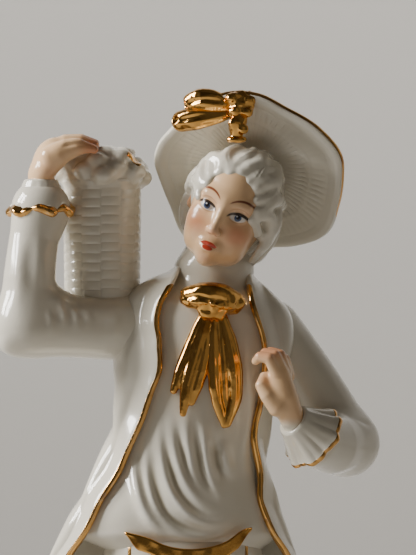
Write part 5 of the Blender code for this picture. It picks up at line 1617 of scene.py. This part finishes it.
def make_stocking(side):
    """A stockinged leg from the garter to the shoe, creased a little at the ankle."""
    _, knee, ankle, _ = LEGS[side]
    knee, ankle = np.array(knee, float), np.array(ankle, float)
    clay = Clay(np.minimum(knee, ankle) - vec(11, 11, 3), np.maximum(knee, ankle) + vec(11, 13, 3), 0.40)
    p = clay.points
    calf = ankle * 0.35 + knee * 0.65 + vec(0, 1.8, 0)
    low = ankle * 0.75 + knee * 0.25 + vec(0, 0.6, 0)
    clay.add(limb(p, (ankle + vec(0, 0, -1), low, calf, knee + vec(0, 0, 0.5)), (3.7, 4.0, 6.3, 5.6)))
    clay.add(egg(p, knee + vec(0, -2.2, -2.0), (4.0, 4.0, 4.6)), 2.0)
    p = clay.near()
    for lift in (2.0, 4.2, 6.6):
        ring = np.linspace(0, np.pi, 9)
        path = np.stack([ankle[0] + 4.1 * np.cos(ring), ankle[1] + 0.5 - 4.1 * np.sin(ring),
                         ankle[2] + lift + 0.7 * np.sin(2 * ring)], axis=1)
        clay.swell(fold(p, path, 0.7, 0.28, 0.3))
    return fired(f"leg_stocking_{side}", "white porcelain", clay)


def make_shoe(side):
    """A low heeled shoe with a tongue."""
    _, _, ankle, bearing = LEGS[side]
    ankle = np.array(ankle, float)
    axes = turned(yaw=bearing)
    clay = Clay(ankle - vec(25, 25, 9.5), ankle + vec(25, 25, 8), 0.38)
    p = seen_from(clay.points, ankle, axes)
    clay.add(limb(p, (vec(0, 2.6, -4.4), vec(0, -4, -4.9), vec(0, -11, -6.0), vec(0, -15.4, -6.6)),
                  (4.1, 4.2, 3.6, 2.4)))
    clay.add(limb(p, (vec(0, 1.5, -2.5), vec(0, -3.6, -3.0)), (4.4, 3.6)), 1.5)
    clay.take(p[..., 2] + (ankle[2] - SOLE), 0.5)
    clay.add(egg(p, (0, 3.6, -7.0), (3.7, 3.2, 2.2)), 0.4)
    clay.take(p[..., 2] + (ankle[2] - SOLE), 0.2)
    clay.swell(fold(p, (vec(-4.5, -9, -7.6), vec(0, -18.5, -7.8), vec(4.5, -9, -7.6)), 0.5, 0.25, 0.2))
    tongue = (vec(-2.6, -3.4, 0.6), vec(0, -4.6, 1.0), vec(2.6, -3.4, 0.6))
    clay.swell(fold(p, tongue, 0.9, 0.5, 0.3))
    return fired(f"heeled_shoe_{side}", "white porcelain", clay)


def make_buckle(side):
    """An oblong buckle with a bar, over a small gathered bow of ribbon."""
    _, _, ankle, bearing = LEGS[side]
    ankle = np.array(ankle, float)
    axes = turned(yaw=bearing, nod=-32)
    middle = ankle + turned(yaw=bearing) @ vec(0, -6.4, -0.9)
    clay = Clay(middle - vec(7, 7, 4.5), middle + vec(7, 7, 4.5), 0.22)
    p = seen_from(clay.points, middle, axes)
    around = np.linspace(0, 2 * np.pi, 25)
    frame_line = np.stack([3.0 * np.sign(np.cos(around)) * np.abs(np.cos(around)) ** 0.5,
                           2.1 * np.sign(np.sin(around)) * np.abs(np.sin(around)) ** 0.5,
                           0.2 * np.cos(2 * around)], axis=1)
    clay.add(limb(p, frame_line, np.full(25, 0.62)))
    clay.add(limb(p, (vec(0, -2.1, 0), vec(0, 2.1, 0)), (0.45, 0.45)), 0.2)
    clay.add(egg(p, (0, 0, -0.7), (3.0, 2.2, 0.7)), 0.3)
    return fired(f"gilt_buckle_{side}", "bright gold", clay)


def make_knee_band(side):
    """A gilt garter under the breeches' hem, tied at its outer side in a flat knot."""
    _, knee, _, _ = LEGS[side]
    knee = np.array(knee, float) + vec(0, -0.6, -1.6)
    out = 1 if side == "left" else -1
    clay = Clay(knee - vec(12, 12, 7), knee + vec(12, 12, 5), 0.30)
    p = clay.points
    around = np.linspace(0, 2 * np.pi, 33)
    ring = np.stack([knee[0] + 6.4 * np.cos(around), knee[1] + 6.6 * np.sin(around),
                     knee[2] + 0 * around], axis=1)
    clay.add(limb(p, ring, np.full(33, 1.0)))
    clay.add(limb(p, ring + vec(0, 0, -1.3), np.full(33, 0.8)), 0.4)
    spot = knee + vec(out * 6.0, -3.6, -0.5)
    clay.add(egg(p, spot, (1.3, 1.3, 1.6)), 0.3)
    clay.add(limb(p, (spot, spot + vec(out * 1.0, -0.6, -4.4)), (0.7, 1.0)), 0.3)
    clay.add(limb(p, (spot, spot + vec(out * -0.4, -1.2, -3.8)), (0.7, 1.0)), 0.3)
    return fired(f"gilt_garter_{side}", "bright gold", clay)


def make_stump():
    """The tree stump that carries the figure: bark ridges, a knot hole and a cut branch."""
    low, high = (np.array(corner) / MM - vec(CENTRE_LINE, 0, FOOT_LEVEL)
                 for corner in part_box("tree_stump"))
    clay = Clay(low + vec(-5, -1, 0), high + vec(6, 5, 22), 0.55)
    p = clay.points
    foot, top = vec(-4, 14.0, low[2] + 3), vec(-3.4, 11.6, high[2] + 14)
    spine = (foot, vec(-2.6, 13.6, 35), vec(-3.4, 12.6, 60), top)
    clay.add(limb(p, spine, (11.0, 8.9, 8.3, 8.0)))
    for bearing in (0.3, 1.7, 2.9, 4.4, 5.5):
        toe = foot + vec(13.5 * math.cos(bearing), 11.5 * math.sin(bearing), -3.4)
        clay.add(limb(p, (foot + vec(0, 0, 9), (foot + toe) / 2 + vec(0, 0, 2.5), toe), (5, 3.8, 1.6)),
                 3.0)
    clay.add(limb(p, (vec(2, 15, 52), vec(10.6, 19.5, 60)), (3.8, 3.0)), 2.0)
    clay.take(egg(p, (12.4, 20.5, 61.8), (2.6, 2.6, 2.0)), 0.5)
    p = clay.near()
    around = np.arctan2(p[..., 0] + 3, p[..., 1] - 13)
    bark = np.abs(np.sin(7 * around + 0.9 * np.sin(p[..., 2] * 0.16) + 0.8 * cloud(p, 9, 61)))
    clay.swell(0.9 * (bark - 0.5) + 0.4 * cloud(p, 3.4, 62))
    clay.take(p[..., 2] - low[2], 0.2)
    return fired("bark_stump", "white porcelain", clay)


def make_base():
    """The round plinth: a lobed foot moulding, a gilt line above it, and slightly uneven ground on top."""
    low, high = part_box("base")
    radius, height = (high[0] - low[0]) / MM / 2, (high[2] - low[2]) / MM
    outline = np.array((
        (0.0, 0.14), (0.80, 0.14), (0.82, 0.0), (0.93, 0.0), (0.985, 0.06), (1.0, 0.2), (0.995, 0.36),
        (0.955, 0.46), (0.925, 0.50), (0.935, 0.58), (0.952, 0.68), (0.945, 0.80), (0.90, 0.93),
        (0.82, 1.0), (0.5, 1.03), (0.0, 1.04),
    ))
    path = np.concatenate([np.linspace(a, b, 12, endpoint=False) for a, b in zip(outline, outline[1:])]
                          + [outline[-1:]])
    for _ in range(3):
        path[1:-1] = 0.25 * path[:-2] + 0.5 * path[1:-1] + 0.25 * path[2:]
    path = path[1:-1]
    angle = np.linspace(0, 2 * np.pi, 400, endpoint=False)[None, :]
    r, z = path[:, :1] * radius, path[:, 1:] * height
    x, y = r * np.cos(angle), r * np.sin(angle)
    ground = ease(z, 0.93 * height, height) * (0.45 * cloud(np.stack([x, y, 0 * x], axis=-1), 7.0, 71))
    middle = BASE_MIDDLE - vec(CENTRE_LINE, 0, 0)
    rings = np.stack([x + middle[0], y + middle[1], z + ground + 0 * angle], axis=-1)
    edge = np.abs(z - 0.52 * height) + 8.0 * (path[:, :1] < 0.9) + 0 * angle
    made = tube("round_plinth", None, rings, {"edge": edge})
    foot = (BASE_MIDDLE[0] * MM, BASE_MIDDLE[1] * MM, low[2])
    return grown(made, "lobed moulding", "gilt edged porcelain", Middle=foot,
                 Lobes=56.0, Depth=0.0006, Level=0.0022, Reach=0.0021)


# ---------------------------------------------------------------- settings


def paint_setting(name, description, default):
    """A colour that the maker can change."""
    return bpy.props.FloatVectorProperty(name=name, description=description, size=3, subtype="COLOR",
                                         min=0, max=1, default=default)


def width_setting(name, description, low, high, default):
    """A width in millimetres that the maker can change."""
    return bpy.props.FloatProperty(name=name, description=description + ", in millimetres",
                                   min=low, max=high, default=default)


class FigurineGlazes(bpy.types.PropertyGroup):
    """Colours and habits of the glazes, paints and gold."""

    body: paint_setting("Porcelain", "Colour of the white body under clear glaze", (0.72, 0.675, 0.57))
    # the pooled and thinned glaze colours also paint shade into hollows and light onto ridges
    pool: paint_setting("Pooled glaze and painted shade", "Colour where glaze gathers in hollows, darkened as painted shade", (0.46, 0.40, 0.28))
    ridge: paint_setting("Thin glaze and painted light", "Colour where glaze thins on ridges, lightened as painted light", (0.82, 0.785, 0.70))
    flesh: paint_setting("Flesh tint", "Colour of the flesh wash", (0.84, 0.55, 0.31))
    # the flesh colours in hollows and on ridges also paint shade and light
    flesh_pool_and_shade: paint_setting("Flesh in hollows", "Flesh wash gathered in hollows, darkened as painted shade", (0.52, 0.27, 0.145))
    flesh_ridge: paint_setting("Flesh on ridges", "Flesh wash thinned on ridges, lightened as painted light", (0.88, 0.68, 0.50))
    blush: paint_setting("Blush", "Warm tint on cheeks, ears and fingertips", (0.66, 0.27, 0.13))
    gold: paint_setting("Bright gold", "Colour of the fired gold", (0.74, 0.40, 0.11))
    # this brown also paints shade into the gold's hollows
    thin_gold: paint_setting("Thin and shaded gold", "Colour of gold where the brush left little, and in hollows as painted shade",
                             (0.36, 0.16, 0.035))
    wobble: width_setting("Brush wobble", "How unsteady the gilt lines are", 0, 2, 0.18)
    wear: bpy.props.FloatProperty(name="Gilding wear",
                                  description="Share of a gilt line rubbed away in patches",
                                  subtype="FACTOR", min=0, max=1, default=0.25)


class FigurineSizes(bpy.types.PropertyGroup):
    """Sizes a maker would change."""

    line_width: width_setting("Gilt line", "Width of the coat's gilt line", 0.3, 3, 0.85)
    fine_width: width_setting("Fine gilt line", "Half width of the breeches' gilt lines", 0.1, 2, 0.42)
    rim_width: width_setting("Cuff gilding", "Width of gold on the right cuff's rim", 0.3, 5, 2.1)
    distance: bpy.props.FloatProperty(name="Camera distance", description="From the camera to the figure",
                                      subtype="DISTANCE", unit="LENGTH", min=0.1, max=3,
                                      default=2.9 * (CAD_BOX[1][2] - CAD_BOX[0][2]))


def adopt(piece, finish, *nodes):
    """Hands a finished piece to the frame: the body it rides on and the castings it stands for. finish is not
    used.
    """
    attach(piece, BODY)
    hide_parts(*nodes)


class FIGURINE_OT_glazes(bpy.types.Operator):
    """Mix the glazes, paints and gold"""

    bl_idname = "figurine.glazes"
    bl_label = "Mix glazes"

    def execute(self, context):
        glaze, sizes = context.scene.figurine_glazes, context.scene.figurine_sizes
        for make in (make_glaze_pooling_and_painted_shade, make_kiln_marks, make_glaze_ripple, make_gilt_line,
                     make_gold_tone, make_painted_dab, make_weave_tree, make_moulding_tree):
            make()
        glazed("white porcelain", glaze)
        glazed("powdered hair", glaze)
        glazed("gilt edged porcelain", glaze, sizes.line_width)
        glazed("gilt rimmed porcelain", glaze, sizes.rim_width)
        glazed("finely gilt porcelain", glaze, sizes.fine_width)
        gilded("bright gold", glaze)
        flesh("flesh tint", glaze)
        make_painted_face(glaze)
        return {"FINISHED"}


class FIGURINE_OT_coat(bpy.types.Operator):
    """Model the coat with its gilt edges"""

    bl_idname = "figurine.coat"
    bl_label = "Coat"

    def execute(self, context):
        adopt(make_coat(), PORCELAIN, "coat_body", "coat_skirt")
        return {"FINISHED"}


class FIGURINE_OT_shirt(bpy.types.Operator):
    """Model the stock, shirt front and waistcoat"""

    bl_idname = "figurine.shirt"
    bl_label = "Shirt front"

    def execute(self, context):
        adopt(make_shirt(), PORCELAIN, "waistcoat")
        return {"FINISHED"}


class FIGURINE_OT_sleeves(bpy.types.Operator):
    """Model both sleeves"""

    bl_idname = "figurine.sleeves"
    bl_label = "Sleeves"

    def execute(self, context):
        adopt(make_sleeve_right(), PORCELAIN, "sleeve_right")
        adopt(make_sleeve_left(), PORCELAIN, "sleeve_left")
        return {"FINISHED"}


class FIGURINE_OT_cuffs(bpy.types.Operator):
    """Model both ruffled cuffs"""

    bl_idname = "figurine.cuffs"
    bl_label = "Cuffs"

    def execute(self, context):
        right = make_cuff("cuff_right_ruffle", WRIST_RIGHT, CUFF_AXIS_RIGHT, 8.8, 3.4, 7.9, 7, 0.5, 0.7,
                          1.0)
        adopt(right, PORCELAIN, "cuff_right")
        left = make_cuff("cuff_left_ruffle", WRIST_LEFT, CUFF_AXIS_LEFT, 9.2, 3.4, 8.0, 8, 0.40, 0.2,
                         0.52)
        adopt(left, PORCELAIN, "cuff_left")
        return {"FINISHED"}


class FIGURINE_OT_hands(bpy.types.Operator):
    """Model both hands"""

    bl_idname = "figurine.hands"
    bl_label = "Hands"

    def execute(self, context):
        adopt(make_hand_right(), FLESH, "hand_right")
        adopt(make_hand_left(), FLESH, "hand_left")
        return {"FINISHED"}


class FIGURINE_OT_head(bpy.types.Operator):
    """Model and paint the head"""

    bl_idname = "figurine.head"
    bl_label = "Head"

    def execute(self, context):
        adopt(make_head(), FLESH, "head")
        return {"FINISHED"}


class FIGURINE_OT_hair(bpy.types.Operator):
    """Model the powdered hair"""

    bl_idname = "figurine.hair"
    bl_label = "Hair"

    def execute(self, context):
        adopt(make_hair(), PORCELAIN, "hair")
        return {"FINISHED"}


class FIGURINE_OT_hat(bpy.types.Operator):
    """Model the hat's brim and crown"""

    bl_idname = "figurine.hat"
    bl_label = "Hat"

    def execute(self, context):
        adopt(make_brim(), PORCELAIN, "hat_brim")
        adopt(make_crown(), PORCELAIN, "hat_crown")
        return {"FINISHED"}


class FIGURINE_OT_hat_bow(bpy.types.Operator):
    """Model the gold bow on the hat"""

    bl_idname = "figurine.hat_bow"
    bl_label = "Hat bow"

    def execute(self, context):
        upper, lower = make_hat_loops()
        knot, drop = make_hat_knot()
        adopt(upper, GOLD, "hat_bow_loop_upper")
        adopt(lower, GOLD, "hat_bow_loop_lower")
        adopt(knot, GOLD, "hat_bow_knot")
        adopt(drop, GOLD, "hat_bow_drop")
        return {"FINISHED"}


class FIGURINE_OT_neck_bow(bpy.types.Operator):
    """Model the gold bow at the neck"""

    bl_idname = "figurine.neck_bow"
    bl_label = "Neck bow"

    def execute(self, context):
        adopt(make_neck_bow(), GOLD, "neck_bow")
        long_tail, short_tail = make_neck_tails()
        adopt(long_tail, GOLD, "neck_bow_tail_left")
        adopt(short_tail, GOLD, "neck_bow_tail_right")
        return {"FINISHED"}


class FIGURINE_OT_basket(bpy.types.Operator):
    """Model the basket and its blossom"""

    bl_idname = "figurine.basket"
    bl_label = "Basket"

    def execute(self, context):
        adopt(make_basket(), PORCELAIN, "basket")
        adopt(make_heap(), PORCELAIN, "basket_heap")
        return {"FINISHED"}


class FIGURINE_OT_breeches(bpy.types.Operator):
    """Model the breeches and waistband"""

    bl_idname = "figurine.breeches"
    bl_label = "Breeches"

    def execute(self, context):
        adopt(make_breeches(), PORCELAIN, "breeches")
        adopt(make_waistband(), GOLD, "waistband")
        return {"FINISHED"}


class FIGURINE_OT_legs(bpy.types.Operator):
    """Model stockings, shoes, buckles and knee bands"""

    bl_idname = "figurine.legs"
    bl_label = "Legs"

    def execute(self, context):
        for side in LEGS:
            adopt(make_stocking(side), PORCELAIN, f"stocking_{side}")
            adopt(make_shoe(side), PORCELAIN, f"shoe_{side}")
            adopt(make_buckle(side), GOLD, f"shoe_buckle_{side}")
            adopt(make_knee_band(side), GOLD, f"knee_band_{side}")
        return {"FINISHED"}


class FIGURINE_OT_ground(bpy.types.Operator):
    """Model the stump and the base"""

    bl_idname = "figurine.ground"
    bl_label = "Stump and base"

    def execute(self, context):
        adopt(make_stump(), PORCELAIN, "tree_stump")
        adopt(make_base(), PORCELAIN, "base")
        return {"FINISHED"}


# ---------------------------------------------------------------- stage

FRAME_HALF_HEIGHT = 69.4  # half the height that the camera frames where the figure stands, in mm
STAGE_PAINT = (0.44, 0.425, 0.40)
# painted shade: the half of the room behind the camera is painted this share as bright, standing for a room
# that the lamps leave unlit
DARK_SHARE = 0.25  # how bright the half of the room behind the camera is
DAYLIGHT, LAMPLIGHT, ROOM_LIGHT = (1.0, 0.985, 0.96), (1.0, 0.86, 0.66), (1.0, 0.90, 0.74)
FLOOR_RADIUS, ROOM_RADIUS, ROOM_HEIGHT = 1.5, 1.2, 2.4  # in metres
FLOOR_GAP = 0.0005  # the floor lies this far under the base


def plain_stage_paint(name, colour, one_sided):
    """Matt paint with faint patches. One-sided paint lets the view in from behind the wall."""
    made, board, shader, place = material(name)
    patch = board.noise(place, 3.0, 2.0)
    board.put(shader.inputs["Base Color"], board.tint(patch, colour, tuple(0.95 * c for c in colour)))
    shader.inputs["Roughness"].default_value = 0.85
    if one_sided:
        behind = board.node("ShaderNodeNewGeometry").outputs["Backfacing"]
        board.put(shader.inputs["Alpha"], board.math("SUBTRACT", 1.0, behind))
    return made


def stage_piece(name, bm, paint):
    """Links a piece of the room."""
    mesh = bpy.data.meshes.new(name)
    bm.to_mesh(mesh)
    bm.free()
    mesh.shade_smooth()
    mesh.materials.append(paint)
    made = bpy.data.objects.new(name, mesh)
    bpy.context.scene.collection.objects.link(made)
    return made


def lamp(name, place, target, size, watts, colour):
    """A rectangular soft light that faces its target."""
    data = bpy.data.lights.new(name, "AREA")
    data.shape = "RECTANGLE"
    data.size, data.size_y = size
    data.energy = watts
    data.color = colour
    made = bpy.data.objects.new(name, data)
    bpy.context.scene.collection.objects.link(made)
    made.location = place
    made.rotation_euler = (Vector(target) - Vector(place)).to_track_quat("-Z", "Y").to_euler()
    return made


class FIGURINE_OT_stage(bpy.types.Operator):
    """Set the floor, backdrop, lights and camera"""

    bl_idname = "figurine.stage"
    bl_label = "Set stage"

    def execute(self, context):
        sizes = context.scene.figurine_sizes
        level = CAD_BOX[0][2] - FLOOR_GAP
        floor = bmesh.new()
        bmesh.ops.create_circle(floor, cap_ends=True, segments=96, radius=FLOOR_RADIUS)
        bmesh.ops.translate(floor, verts=floor.verts, vec=(0, 0, level))
        stage_piece("floor", floor, plain_stage_paint("floor paint", STAGE_PAINT, False))
        for name, half, shade in (("backdrop", 1, 1.0), ("room behind the camera", -1, DARK_SHARE)):
            wall = bmesh.new()
            bmesh.ops.create_cone(wall, cap_ends=False, segments=96, radius1=ROOM_RADIUS,
                                  radius2=ROOM_RADIUS, depth=ROOM_HEIGHT)
            bmesh.ops.translate(wall, verts=wall.verts, vec=(0, 0, level + ROOM_HEIGHT / 2))
            bmesh.ops.reverse_faces(wall, faces=wall.faces)
            other_half = [face for face in wall.faces if face.calc_center_median().y * half < 0]
            bmesh.ops.delete(wall, geom=other_half, context="FACES")
            # painted shade: the wall behind the camera gets darker paint
            tone = tuple(shade * channel for channel in STAGE_PAINT)
            stage_piece(name.replace(" ", "_"), wall, plain_stage_paint(name + " paint", tone, True))
        target = Vector(((CENTRE_LINE + 3.3) * MM, -0.005, (203.4 + FOOT_LEVEL) * MM))
        for side in (-1, 1):
            place = target + Vector((-0.82, 0.13 * side - 0.02, 0.42))
            lamp(f"window pane {side}", place, target, (0.20, 0.50), 10.7, DAYLIGHT)
        lamp("wall wash", Vector((-0.1, 0.35, 0.95)), Vector((0.1, 1.25, 0.6)), (0.7, 0.4), 12.4,
             DAYLIGHT)
        lamp("room", target + Vector((0.60, -0.85, 0.15)), target, (0.8, 0.9), 0.25, LAMPLIGHT)
        world = bpy.data.worlds.new("room light")
        world.use_nodes = True
        world.node_tree.nodes["Background"].inputs["Color"].default_value = (*ROOM_LIGHT, 1)
        world.node_tree.nodes["Background"].inputs["Strength"].default_value = 0.07
        context.scene.world = world
        data = bpy.data.cameras.new("camera")
        data.lens = data.sensor_width / 2 / (FRAME_HALF_HEIGHT * MM / sizes.distance)
        data.clip_start = 0.01
        camera = bpy.data.objects.new("camera", data)
        context.scene.collection.objects.link(camera)
        camera.location = target + Vector((0, -sizes.distance, 0))
        camera.rotation_euler = (math.radians(90), 0, 0)
        context.scene.camera = camera
        return {"FINISHED"}


STEPS = (
    FIGURINE_OT_glazes,
    FIGURINE_OT_coat,
    FIGURINE_OT_shirt,
    FIGURINE_OT_sleeves,
    FIGURINE_OT_cuffs,
    FIGURINE_OT_hands,
    FIGURINE_OT_head,
    FIGURINE_OT_hair,
    FIGURINE_OT_hat,
    FIGURINE_OT_hat_bow,
    FIGURINE_OT_neck_bow,
    FIGURINE_OT_basket,
    FIGURINE_OT_breeches,
    FIGURINE_OT_legs,
    FIGURINE_OT_ground,
    FIGURINE_OT_stage,
)


class FIGURINE_PT_panel(bpy.types.Panel):
    """Lists the steps that make the figurine"""

    bl_idname = "FIGURINE_PT_panel"
    bl_label = "Porcelain Gentleman"
    bl_space_type = "VIEW_3D"
    bl_region_type = "UI"
    bl_category = "Figurine"

    def draw(self, context):
        column = self.layout.column(align=True)
        for step in STEPS:
            column.operator(step.bl_idname)
        for settings in (context.scene.figurine_glazes, context.scene.figurine_sizes):
            box = self.layout.box()
            for name in settings.bl_rna.properties.keys():
                if name not in {"rna_type", "name"}:
                    box.prop(settings, name)


CLASSES = (FigurineGlazes, FigurineSizes, *STEPS, FIGURINE_PT_panel)


def register():
    """Registers the classes and hangs the settings on the scene."""
    for item in CLASSES:
        bpy.utils.register_class(item)
    bpy.types.Scene.figurine_glazes = bpy.props.PointerProperty(type=FigurineGlazes)
    bpy.types.Scene.figurine_sizes = bpy.props.PointerProperty(type=FigurineSizes)


def unregister():
    """Takes back what register did."""
    del bpy.types.Scene.figurine_sizes
    del bpy.types.Scene.figurine_glazes
    for item in reversed(CLASSES):
        bpy.utils.unregister_class(item)


def main():
    """Makes the whole figurine."""
    register()
    bpy.ops.figurine.glazes()
    bpy.ops.figurine.coat()
    bpy.ops.figurine.shirt()
    bpy.ops.figurine.sleeves()
    bpy.ops.figurine.cuffs()
    bpy.ops.figurine.hands()
    bpy.ops.figurine.head()
    bpy.ops.figurine.hair()
    bpy.ops.figurine.hat()
    bpy.ops.figurine.hat_bow()
    bpy.ops.figurine.neck_bow()
    bpy.ops.figurine.basket()
    bpy.ops.figurine.breeches()
    bpy.ops.figurine.legs()
    bpy.ops.figurine.ground()
    bpy.ops.figurine.stage()


if __name__ == "__main__":
    main()
